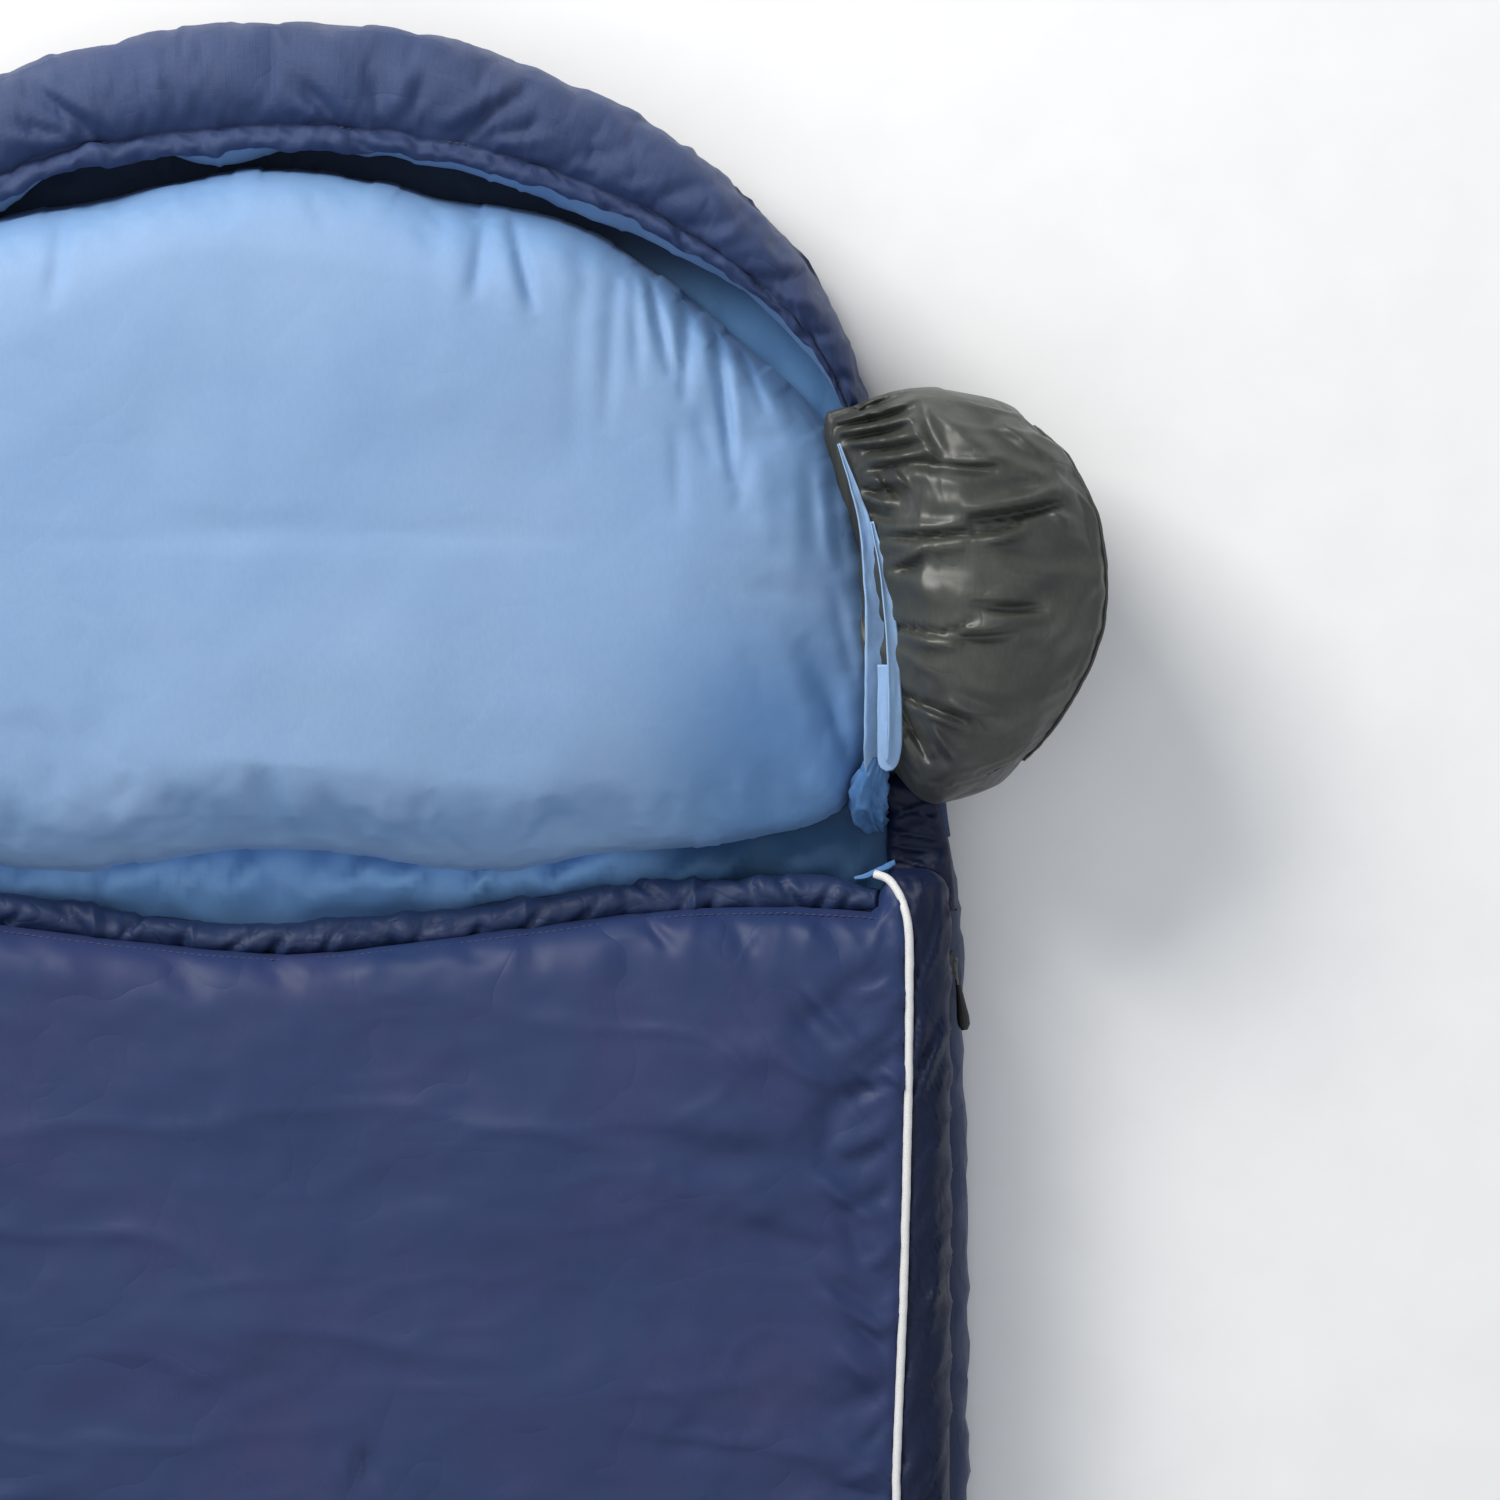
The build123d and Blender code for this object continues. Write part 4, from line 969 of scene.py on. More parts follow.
COVER_CREASES = [
    # x0, y0, x1, y1, width, height: soft folds in the satin panel, near the piping, the collar and the middle
    (300, 520, 352, 560, 9, -4.0), (322, 505, 358, 528, 6, 3.4), (312, 470, 356, 505, 8, -4.6), (330, 452, 360, 470, 6, 4.0),
    (318, 440, 352, 455, 7, -4.0), (292, 505, 319, 491, 6, 4.2), (311, 437, 349, 410, 5, 4.8), (320, 474, 315, 445, 8, -4.8), (330, 412, 340, 386, 7, -4.4),
    (215, 475, 306, 463, 12, 3.4), (200, 455, 300, 450, 14, -3.0), (223, 431, 305, 431, 14, 2.8), (275, 404, 330, 393, 8, -3.4), (114, 306, 191, 317, 18, 3.2),
    (218, 284, 251, 292, 10, -3.4), (45, 250, 54, 283, 3.2, -7.5), (36, 246, 47, 283, 5, 3.5), (314, 369, 360, 344, 5, 4.0), (325, 361, 355, 333, 4, -4.4),
    (325, 415, 360, 432, 5, -3.6), (312, 385, 356, 352, 8, -3.4), (322, 340, 358, 312, 6, 3.6), (300, 340, 352, 322, 9, 2.6), (318, 300, 356, 318, 7, -3.6), (290, 288, 350, 272, 9, 3.0),
    (330, 540, 362, 548, 4, 3.2), (305, 548, 330, 520, 7, 3.0), (298, 538, 322, 512, 9, -3.6), (336, 492, 362, 500, 4, 3.2), (326, 484, 360, 490, 4, -3.2), (340, 384, 362, 398, 4, 3.4),
    (336, 280, 361, 300, 4, -3.4), (330, 262, 360, 276, 4, 3.4), (318, 258, 356, 250, 5, -3.4), (60, 470, 170, 462, 22, 2.6), (10, 430, 120, 436, 18, -2.2), (-60, 500, 40, 492, 20, 2.0),
    (240, 505, 300, 512, 10, 2.2), (120, 380, 220, 352, 22, -2.8), (-100, 360, 10, 350, 24, 2.4), (250, 250, 330, 262, 14, -2.2), (90, 330, 130, 260, 18, 2.0), (200, 320, 260, 250, 20, -2.0),
    (-20, 300, 60, 320, 20, -2.2), (-10, 573, 9, 545, 5, -6.5), (-2, 574, 18, 548, 5, 4.0), (146, 577, 149, 552, 5, -5.0), (139, 576, 140, 556, 5, 3.4), (213, 585, 227, 568, 4, -5.4),
    (107, 573, 122, 558, 4, -4.4), (204, 574, 207, 542, 14, -3.4), (190, 570, 180, 545, 10, 2.6), (60, 568, 52, 548, 8, 3.0), (262, 586, 276, 562, 7, -3.6), (300, 588, 316, 566, 6, 3.0),
    (-60, 566, -44, 540, 6, -5.0), (-120, 570, -112, 542, 8, 3.4), (-170, 575, -186, 550, 6, -4.6), (-240, 582, -232, 556, 7, 3.4), (-310, 584, -322, 560, 6, -4.4),
    (-380, 520, -330, 500, 7, -4.0), (-380, 470, -322, 480, 8, 3.0), (-384, 410, -330, 396, 7, -4.0), (-384, 350, -340, 362, 6, 3.4), (-384, 290, -330, 276, 8, -3.6),
    (-250, 460, -140, 446, 18, 2.6), (-210, 380, -110, 392, 20, -2.4), (-330, 330, -240, 300, 16, 2.6),
    # lower half
    (300, 160, 356, 182, 8, -3.6), (310, 90, 358, 70, 8, 3.4), (-120, 120, 60, 96, 26, 2.8), (40, 20, 220, 44, 26, -2.6), (300, -40, 356, -18, 9, -3.6), (290, -160, 355, -176, 9, 3.4),
    (-220, -60, -60, -90, 26, -2.6), (60, -200, 220, -170, 26, 2.8), (296, -320, 354, -300, 9, -3.6), (-100, -340, 80, -360, 26, 2.6), (300, -460, 356, -482, 9, 3.4), (-260, -460, -120, -430, 22, -2.6),
    (300, -620, 356, -596, 9, -3.6), (-60, -600, 120, -640, 26, 2.6), (290, -760, 352, -780, 9, 3.2), (-280, -720, -150, -760, 24, 2.8), (60, -820, 220, -790, 26, -2.6), (250, -960, 300, -1040, 9, -3.6),
    (120, -960, 130, -1046, 9, 3.4), (-20, -950, 0, -1046, 9, -3.6), (-160, -960, -150, -1046, 9, 3.2), (-300, -950, -290, -1044, 9, -3.6),
]


def head_line(x):
    """Head border of the cover's skin: along the collar seam, then up into the ear beside the piping."""
    x = np.asarray(x, float)
    base = head_edge(x) - 15.0
    ear = smooth(343, 355, x) * (613.5 - base)
    drop = 14.0 * (1 - np.sqrt(np.maximum(0, 1 - np.clip((x - 371) / 17.0, 0, 1) ** 2)))
    return base + ear - drop


def build_cover():
    yn = np.r_[CY0 + 60 - 60 * np.cos(np.linspace(0, math.pi / 2, 12)), np.linspace(CY0 + 60, 150, 96)[1:], np.linspace(150, 540, 124)[1:],
               540 + 45.0 * np.sin(np.linspace(0, math.pi / 2, 26))[1:]]
    s = np.r_[-1 + 0.16 * (1 - np.cos(np.linspace(0, math.pi / 2, 14))), np.linspace(-0.84, 0.55, 74)[1:-1], np.linspace(0.55, 0.965, 62)[:-1],
              0.965 + 0.035 * np.sin(np.linspace(0, math.pi / 2, 12))]
    YN = np.repeat(yn[:, None], len(s), 1)
    ins = cover_w(yn)[:, None]
    ins_r = np.where(yn > 0, cover_w(yn) * 0.42, cover_w(yn))[:, None]
    XR, XL = CX1 - ins_r, CX0 + ins
    X = np.where(s[None, :] >= 0, XR * s[None, :], -XL * s[None, :])
    lift = np.where(X > 335, smooth(520, 585, YN), smooth(300, 585, YN))
    Y = YN + lift * (head_line(X) - 585.0)
    P = cover_poly()
    d = np.maximum(poly_dist(X, Y, P), 0)
    border = np.zeros(X.shape, bool)
    border[0, :] = border[-1, :] = border[:, 0] = border[:, -1] = True
    d[border] = 0
    # the panel crowns; its right and foot edges roll over into the side strip below the piping
    dl = X - CX0
    dh = head_line(X) - Y
    seam = pipe_x(Y) - X
    ds = np.minimum(np.abs(seam), np.abs(Y - (CY0 + 29.5)) if False else 1e9)
    foot_seam = Y - (Y_FOOT + 40.0)
    edge_in = np.minimum(np.minimum(seam, dl - 10), foot_seam)
    crown = 1 - np.exp(-np.maximum(np.minimum(edge_in, dh), 0) / 110.0)
    lock_dip = np.exp(-(((X + 290) / 44.0) ** 4)) * smooth(410, 445, Y)
    ZT = 74 + 31.5 * np.minimum(bulge(np.minimum(d, np.minimum(CX1 - X, np.minimum(X - CX0, Y - CY0))), 34, 2.4), bulge(dh, 17, 2.0)) + 13.0 * crown * (1 - 0.95 * lock_dip)
    # long soft waves of the filling
    wav = 3.6 * fbm(X / 190.0, Y / 150.0, 61, 3) + 2.8 * fbm(X / 70.0 + 0.2 * Y / 70, Y / 55.0, 62, 3) + 2.0 * ridge(X / 130.0 + Y / 210.0, Y / 62.0, 63, 2.0) - 0.8
    wav = wav + 1.0 * ridge(X / 46.0 - Y / 80.0, Y / 30.0, 64, 1.6)
    ZT = ZT + wav * smooth(6, 60, np.minimum(edge_in, dh)) * (1 - lock_dip)
    ZT = ZT + strokes(X, Y, COVER_CREASES) * smooth(4, 14, edge_in)
    # puckers drawn in by the piping seam, on both sides of it
    along = np.where(foot_seam < seam, X, Y)
    near = np.minimum(np.abs(seam), np.where(X < pipe_x(Y), np.abs(foot_seam), 1e9))
    irr = 0.45 + 0.75 * smooth(-0.3, 0.5, fbm(along / 75.0, 0 * X, 71, 2))
    pk_in = ridge((along + 0.55 * near) / 15.0, near / 60.0, 72, 1.3) * np.exp(-near / 15.0) + 0.9 * ridge((along - 0.8 * near) / 24.0, near / 90.0, 73, 1.4) * np.exp(-near / 34.0)
    ZT = ZT + np.where((edge_in > 0), 4.6 * irr * (pk_in - 0.25 * np.exp(-near / 18.0)), 0)
    strip = (edge_in <= 0) & (d > 0.5)
    pk_out = 4.6 * ridge((along - 1.7 * near) / 21.0, near / 40.0, 75, 1.3) + 2.6 * ridge((along - 2.6 * near) / 10.0, near / 30.0, 76, 1.4)
    ZT = ZT + np.where(strip & (X > 0), irr * (pk_out - 2.4) * smooth(0, 7, d) * smooth(0.0, 4.0, near), 0)
    # groove for the piping
    ZT = ZT - 3.6 * np.exp(-(near / 3.4) ** 2) * smooth(2, 8, d)
    # gathers behind the collar stitch line
    uc = X
    g1 = ridge((uc + 0.35 * dh) / 17.0, dh / 60.0, 81, 1.3) * np.exp(-np.maximum(dh, 0) / 17.0)
    g2 = ridge((uc - 0.5 * dh) / 38.0, dh / 70.0, 82, 1.3) * np.exp(-np.maximum(dh, 0) / 34.0)
    gi = 0.4 + 0.8 * smooth(-0.35, 0.45, fbm(uc / 90.0, 0 * X, 83, 2))
    ZT = ZT + smooth(0, 5, dh) * gi * (4.6 * g1 + 3.6 * g2 - 1.5 * np.exp(-np.maximum(dh, 0) / 20.0))
    # left edge: puckers of the folded seam
    dlp = np.maximum(dl, 0)
    ZT = ZT + (2.4 * ridge((Y + 0.6 * dlp) / 22.0, dlp / 60.0, 85, 1.3) - 0.7) * np.exp(-dlp / 26.0) * smooth(0, 10, dlp) * smooth(0, 20, dh)
    ZB = 74 - 12.2 * bulge(d, 8.0)
    ZT[border] = ZB[border] = 74.0
    mid = (ZT < ZB + 0.5)
    ZT = np.where(mid & ~border, ZB + 0.5, ZT)
    obj, F, G = sheet_pad("cover_shell_soft", X, Y, ZT, ZB, [M["cover"], M["side"]])
    # side strip beyond the piping takes the darker copy of the navy: painted shade
    idx = []
    XY = np.stack([X.ravel(), Y.ravel()], 1)
    edge_flat = edge_in.ravel()
    n_top = X.size
    me = obj.data
    for p in me.polygons:
        vs = [v for v in p.vertices if v < n_top]
        if len(vs) < 3:
            idx.append(1 if False else 0)
            continue
        e = sum(edge_flat[v] for v in vs) / len(vs)
        xm = sum(XY[v, 0] for v in vs) / len(vs)
        idx.append(1 if (e < 0 and xm > -330) else 0)
    me.polygons.foreach_set("material_index", idx)
    # ripples on the outward side wall
    co = co_of(obj) / MM
    nrm = vertex_normals(co, faces_of(obj))
    x, y, z = co.T
    dd = np.maximum(poly_dist(x, y, P), 0)
    w = np.exp(-(dd / 7.0) ** 2) * smooth(64, 70, z) * (x > 0)
    run = np.where(y < CY0 + 40, x, y)
    co = co + nrm * (w * (2.0 * ridge(run / 17.0 + z / 40.0, z / 60.0, 91) - 0.8))[:, None]
    put_co(obj, co * MM)
    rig.replaces(obj, "cover_shell", "cover_insulation")
    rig.slot(obj, "navy_satin")
    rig.ride(obj, "cover")

    def top_z(px, py):
        """Height of the cover's upper skin at plan points, for pieces that lie on it."""
        px, py = np.atleast_1d(px), np.atleast_1d(py)
        flat = np.stack([X.ravel(), Y.ravel()], 1)
        out = []
        for a, b in zip(px, py):
            k = np.argmin((flat[:, 0] - a) ** 2 + (flat[:, 1] - b) ** 2)
            out.append(ZT.ravel()[k])
        return np.array(out)
    return obj, top_z


def build_cover_lining():
    yn = np.r_[np.linspace(Y_FOOT + 17.5, 560, 150), np.linspace(560, 590, 12)[1:]]
    s = np.linspace(-1, 1, 110)
    X = np.where(s[None, :] > 0, (HALF - 17.5) * s, (HALF - 2.4) * s) * np.ones((len(yn), 1))
    Y = np.repeat(yn[:, None], len(s), 1)
    Y = Y + smooth(450, 590, Y) * (head_edge(X) - 4.0 - 590.0)
    d = np.minimum(np.minimum(HALF - 17.5 - X, X + HALF - 2.4), np.minimum(Y - Y_FOOT - 17.5, head_edge(X) - 4 - Y))
    d = np.maximum(d, 0)
    # plan corners at the foot are rounded off by drawing the points in
    cy = np.clip((Y_FOOT + 70 - Y) / 52.5, 0, 1)
    X = X * (1 - 0.135 * (1 - np.sqrt(np.maximum(0, 1 - cy * cy))))
    soft = smooth(0, 30, d)
    dip = 0.9 + 0.9 * fbm(X / 110.0, Y / 140.0, 101, 3) + 0.8 * ridge(X / 90.0, Y / 55.0, 102)
    ZB = 59.8 - soft * np.clip(dip, 0, 1.9)
    ZT = np.full_like(ZB, 61.1)
    obj, F, G = sheet_pad("cover_lining_soft", X, Y, ZT, ZB, [M["liner"]])
    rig.replaces(obj, "cover_lining")
    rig.slot(obj, "light_blue")
    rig.ride(obj, "cover")
    return obj


def build_collar():
    """Gathered drawcord tunnel along the head edge."""
    xs = np.linspace(-352, 348, 760)
    yc = head_edge(xs) - 8.2 + 1.6 * fbm(xs / 40.0, 0 * xs, 110, 3)
    end = smooth(310, 350, np.abs(xs))
    V, C = [], []
    seg = 20
    warp = xs + 9.0 * fbm(xs / 60.0, 0 * xs, 114, 2)
    g_a = ridge(warp / 19.0, 0 * xs, 111, 1.1)
    g_b = ridge(warp / 41.0, 0 * xs + 3.3, 112, 1.2)
    pinch = [(-330, 4, .3, 3), (-296, 3, .4, -4), (-258, 5, .25, 4), (-221, 3, .42, 5), (-190, 4, .3, -3), (-152, 3, .38, 4), (-118, 5, .28, -5), (-86, 3, .4, 4),
             (-49, 4, .3, 4), (-20, 3, .34, 5), (2, 3.2, .42, 5), (34, 3.6, .34, 6), (62, 5, .22, -4), (88, 4, .24, 5), (116, 3.4, .36, 3), (148, 3.4, .46, 7), (180, 3.4, .40, 7),
             (203, 4, .24, -4), (219, 3.2, .46, -7), (236, 3, .30, 6), (254, 3.6, .38, 5), (276, 4, .28, -5), (298, 3.2, .42, -4), (318, 3, .34, 5), (334, 3, .3, 4)]
    g_m = smooth(-0.4, 0.5, fbm(xs / 55.0, 0 * xs + 7.7, 115, 2))
    for i, x in enumerate(xs):
        ry = 10.6 * (1 - 0.35 * end[i])
        rz = 12.5 * (1 - 0.30 * end[i])
        zc = 72.0 + 6.0 * end[i] + 1.3 * math.sin(x / 47.0)
        for j in range(seg):
            a = 2 * math.pi * j / seg
            up = max(0.0, math.sin(a))
            k = 1 + 0.12 * g_m[i] * (g_a[i] - 0.45) * (0.4 + 0.6 * up) + 0.34 * (g_b[i] - 0.4) * (0.5 + 0.5 * math.cos(a - 1.0))
            k += 0.05 * float(noise2(x / 9.0, a * 1.3, 113)) + 0.16 * float(noise2(x / 31.0, a * 0.9, 116))
            for px, pw, pd, slant in pinch:
                if abs(x - px) < 22:
                    d = x - px - 1.9 * slant * math.cos(a) - 1.5 * math.sin(a * 2 + px)
                    part = max(0.0, math.cos(a - 0.5 - 2.2 * ((px * 0.37) % 1.0))) ** 1.2
                    k -= 0.85 * pd * math.exp(-(d / pw) ** 2) * part
                    k += 0.16 * pd * math.exp(-((d - 2.2 * pw) / (1.2 * pw)) ** 2) * part
            shear = 2.6 * math.sin(x / 29.0 + 1.3 + 2.0 * math.sin(x / 71.0)) * math.sin(a)
            V.append((x + shear, yc[i] + ry * k * math.cos(a), zc + rz * k * math.sin(a)))
            C.append((x, a * 11.0, 0))
    F = grid_faces(len(xs), seg, close_v=True, flip=True)
    for end_i in (0, len(xs) - 1):
        c = len(V)
        ring = [end_i * seg + j for j in range(seg)]
        V.append(tuple(np.mean([V[k] for k in ring], 0)))
        C.append((xs[end_i], 0, 0))
        for j in range(seg):
            a, b = ring[j], ring[(j + 1) % seg]
            F.append((c, a, b) if end_i else (c, b, a))
    o = make_mesh("collar_tunnel", V, F, [M["collar"]], C)
    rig.replaces(o, "collar_channel")
    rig.slot(o, "navy_satin")
    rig.ride(o, "cover")
    return o


def build_piping(top_z):
    ys = np.r_[np.linspace(565, 150, 110), np.linspace(150, Y_FOOT + 70, 150)[1:]]
    path = [(pipe_x(y), y) for y in ys]
    head = spline([(345.5, 609.6), (352, 607.2), (357.5, 601.4), (361.7, 592), (364.3, 580), (365.0, 566)], 24)
    path = [tuple(p) for p in head] + path[1:]
    for a in np.linspace(0, 90, 24)[1:]:
        r = math.radians(a)
        path.append((330 + 30 * math.cos(r), Y_FOOT + 70 - 30 * math.sin(r)))
    path += [(x, Y_FOOT + 40) for x in np.linspace(330, -352, 150)[1:]]
    P = np.array(path)
    n = len(P)
    run = np.r_[0, np.cumsum(np.linalg.norm(np.diff(P, axis=0), axis=1))]
    z = top_z(P[:, 0], P[:, 1])
    k = np.ones(17) / 17
    z = np.convolve(np.r_[np.full(8, z[0]), z, np.full(8, z[-1])], k, "valid")
    z = z + 2.5
    z[:10] = np.linspace(90.0, z[10], 10)
    z[:34] += 1.6 * np.sin(np.linspace(0, math.pi, 34))
    z = np.maximum(z, 88.0)
    P = np.c_[P, z]
    P[:, 0] += 0.25 * fbm(run / 40.0, 0 * run, 121, 2)
    o = tube_mesh("edge_piping_soft", P, 2.45, [M["piping"]], seg=12,
                  rad_fn=lambda s, a: 1 + 0.035 * math.sin(s / 2.1 + a) + (0.10 * math.exp(-((s - 62) / 2.2) ** 2)))
    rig.replaces(o, "edge_piping")
    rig.slot(o, "white_piping")
    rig.ride(o, "cover")
    return o


# ------------------------------------------------------------------ hood rim
RIM_IN = [(362, 640), (354, 700), (346, 760), (336, 820), (330, 866), (318, 895), (291, 930), (246, 962), (204, 984), (160, 1000), (100, 1016), (50, 1023), (0, 1026)]
RIM_OUT = [(389, 630), (381, 680), (371, 740), (360, 806), (348, 862), (331, 913), (301, 965), (262, 1006), (214, 1039), (168, 1063), (104, 1085), (50, 1094), (0, 1097)]


def mirror(rows):
    return rows + [(-x, y) for x, y in reversed(rows[:-1])]


RIM_FOLDS = [
    (43, 1037, 20, 1060, 4.5, -5.0), (36, 1039, 12, 1055, 5.0, 3.6), (44, 1034, 62, 1022, 2.6, -4.5), (50, 1038, 70, 1027, 4.0, 3.6), (3, 1072, 32, 1050, 5.5, -3.2),
    (100, 1035, 148, 1062, 4.2, -4.4), (96, 1040, 140, 1068, 6.0, 3.6), (104, 1030, 122, 1044, 3.2, -4.4), (128, 1035, 152, 1041, 3.2, -3.8), (126, 1030, 160, 1033, 4.0, 3.0),
    (126, 1079, 166, 1067, 3.0, -3.4), (199, 1049, 222, 1040, 3.2, -3.2), (70, 1048, 76, 1074, 6.0, 3.0), (60, 1044, 60, 1070, 6.0, -3.2), (170, 1022, 206, 1028, 6.0, -3.2),
    (182, 1008, 226, 1002, 6.0, 3.0), (214, 1000, 246, 1006, 5.0, -3.6), (236, 984, 272, 984, 5.5, -3.2), (252, 974, 276, 990, 5.0, 3.2), (278, 952, 306, 956, 5.0, -3.6),
    (286, 942, 312, 938, 4.0, 3.0), (296, 922, 322, 922, 4.2, -3.6), (282, 986, 292, 982, 3.4, -4.0), (308, 900, 334, 894, 3.6, -3.4), (316, 880, 342, 872, 3.4, 3.0), (150, 1050, 196, 1046, 8.0, 2.4),
    (80, 1024, 94, 1018, 3.0, -3.6), (150, 1016, 164, 1004, 3.0, -3.6), (190, 998, 200, 986, 3.0, -3.4), (232, 978, 240, 964, 3.0, -3.6), (262, 957, 272, 944, 3.0, -3.4), (120, 1022, 128, 1010, 3.0, 3.2),
]


def build_rim():
    n = 470
    I = spline(mirror(RIM_IN), n)
    O = spline(mirror(RIM_OUT), n)
    # equal share along both edges
    x_mid, y_mid = (I[:, 0] + O[:, 0]) / 2, (I[:, 1] + O[:, 1]) / 2
    run = np.r_[0, np.cumsum(np.hypot(np.diff(x_mid), np.diff(y_mid)))]
    # height of the roll above the lining: full at the crown, flat where the sack and the neck are
    H = np.interp(y_mid, [630, 700, 800, 850, 880, 905, 940, 985, 1030, 1060], [7.5, 8.0, 9.0, 12.0, 24.0, 36.0, 50.0, 60.0, 66.0, 68.0])
    Hl = np.interp(y_mid, [630, 700, 790, 850, 900, 960, 1030], [7.5, 8.5, 11.0, 26.0, 44.0, 60.0, 67.0])
    H = np.where(x_mid < 0, Hl, H)
    prof = np.array([(0.02, -0.16), (-0.035, 0.0), (-0.06, 0.16), (-0.055, 0.32), (-0.02, 0.50), (0.05, 0.68), (0.14, 0.82), (0.25, 0.93), (0.36, 0.985), (0.48, 1.0),
                     (0.58, 0.985), (0.67, 0.945), (0.74, 0.885), (0.785, 0.82), (0.803, 0.775), (0.822, 0.815), (0.868, 0.875), (0.93, 0.88), (0.978, 0.845), (1.0, 0.78),
                     (0.995, 0.73), (0.965, 0.69), (0.93, 0.66)])
    back = np.array([(0.86, 0.60), (0.78, 0.50), (0.70, 0.36), (0.64, 0.20), (0.60, 0.06), (0.45, -0.02), (0.20, -0.06)])
    allp = np.vstack([prof, back])
    m = len(allp)
    V = np.zeros((n, m, 3))
    wander = 0.055 * fbm(run / 46.0, 0 * run, 135, 3) + 0.020 * (ridge(run / 17.0, 0 * run, 136, 1.3) - 0.4)
    for j, (a, h) in enumerate(allp):
        a = a + wander * (0.35 if j < 13 else 1.0) * (0.3 < a) * (j < 23)
        V[:, j, 0] = O[:, 0] + (I[:, 0] - O[:, 0]) * a
        V[:, j, 1] = O[:, 1] + (I[:, 1] - O[:, 1]) * a
        V[:, j, 2] = 50.4 + H * h
    V[0, :, 1] = np.maximum(V[0, :, 1], 628)
    V[-1, :, 1] = np.maximum(V[-1, :, 1], 628)
    arc = np.r_[0, np.cumsum(np.linalg.norm(np.diff(V[n // 2], axis=0), axis=1))]
    C = np.stack([np.repeat(run[:, None], m, 1), np.repeat(arc[None], n, 0), np.zeros((n, m))], -1)
    # seeds for the wrinkles: they radiate from the stitch line across the roll
    R = run[:, None] * np.ones((1, m))
    A = arc[None, :] * np.ones((n, 1))
    k_stitch = 14
    dist = np.abs(A - arc[k_stitch])
    hs = (H / 66.0)[:, None]
    seed = ridge((R + 0.5 * dist) / 26.0, dist / 90.0, 131, 1.5) * np.exp(-dist / 26.0) * 2.2
    seed += ridge((R - 0.7 * dist) / 55.0, dist / 120.0, 132, 1.6) * np.exp(-dist / 48.0) * 2.6
    seed += 2.6 * fbm(R / 70.0, A / 60.0, 133, 3)
    seed += np.where(A < arc[6], 2.2 * ridge(R / 33.0, A / 40.0, 134, 1.4), 0)
    hem = (A > arc[14]) & (A < arc[20])
    seed += np.where(hem, 2.6 * ridge((R + 0.9 * dist) / 15.0, A / 40.0, 137, 1.3) - 0.8, 0)
    V0 = V.reshape(-1, 3)
    F = grid_faces(n, m, close_v=True, flip=False)
    nrm = vertex_normals(V0, F)
    # make normals point outwards: compare with the direction from each section's middle
    mid = np.repeat(V.mean(1)[:, None], m, 1).reshape(-1, 3)
    if np.sum((V0 - mid) * nrm) < 0:
        F = [f[::-1] for f in F]
        nrm = -nrm
    free = np.ones(m)
    free[[0, 13, 14]] = 0.1
    free[list(range(23, m))] = 0.25
    V1 = V0 + nrm * ((seed - 1.2) * free[None, :] * np.minimum(1.0, hs + 0.12)).reshape(-1, 1)
    caps = []
    V1 = V1.tolist()
    Cf = C.reshape(-1, 3).tolist()
    for e in (0, n - 1):
        c = len(V1)
        V1.append(np.mean(np.array(V1[e * m:(e + 1) * m]), 0).tolist())
        Cf.append(Cf[e * m])
        for j in range(m):
            a, b = e * m + j, e * m + (j + 1) % m
            caps.append((c, a, b))
    vn = vertex_normals(np.array(V1), F + caps)
    o = make_mesh("hood_rim", V1, F + caps, [M["rim"], M["blue2"]], Cf)
    idx = [0] * len(F) + [0] * len(caps)
    for q, f in enumerate(F):
        js = [v % m for v in f]
        if min(js) >= 22 and max(js) <= 27:
            idx[q] = 1
    o.data.polygons.foreach_set("material_index", idx)
    if not QUICK:
        pins = np.zeros((n, m))
        pins[:, [0, 1]] = 1
        pins[:, [13, 14, 15]] = [0.7, 1.0, 0.5]
        pins[:, 22:] = 1
        flat = (H < 14)
        pins[flat, :] = 1
        pins[:3, :] = pins[-3:, :] = 1
        pins = np.r_[pins.ravel(), 1, 1]
        simulate(o, pins, frames=9, pressure=2.6, grow=0.045, cap=8.0, stiff=14, bend=0.08)
    o = subdivide(o, 1)
    crease(o, RIM_FOLDS + [(-a + 6, b, -c + 6, d, w, h) for a, b, c, d, w, h in RIM_FOLDS if a > 60], lo=0.1, hi=0.6)
    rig.replaces(o, "hood_rim_shell", "hood_rim_fill", "hood_hem_channel")
    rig.slot(o, "navy_ripstop")
    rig.ride(o, "hood")
    # stitch line along the hem tunnel
    S = V[:, k_stitch, :].copy()
    S[:, 2] += 0.3
    items = stitch_items(S[8:-8], np.tile([0, 0, 1.0], (n - 16, 1)), length=2.6, gap=1.6, width=0.45, height=0.45)
    st = joined("hood_rim_stitching", items, [M["thread"]])
    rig.slot(st, "navy_ripstop")
    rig.ride(st, "hood")
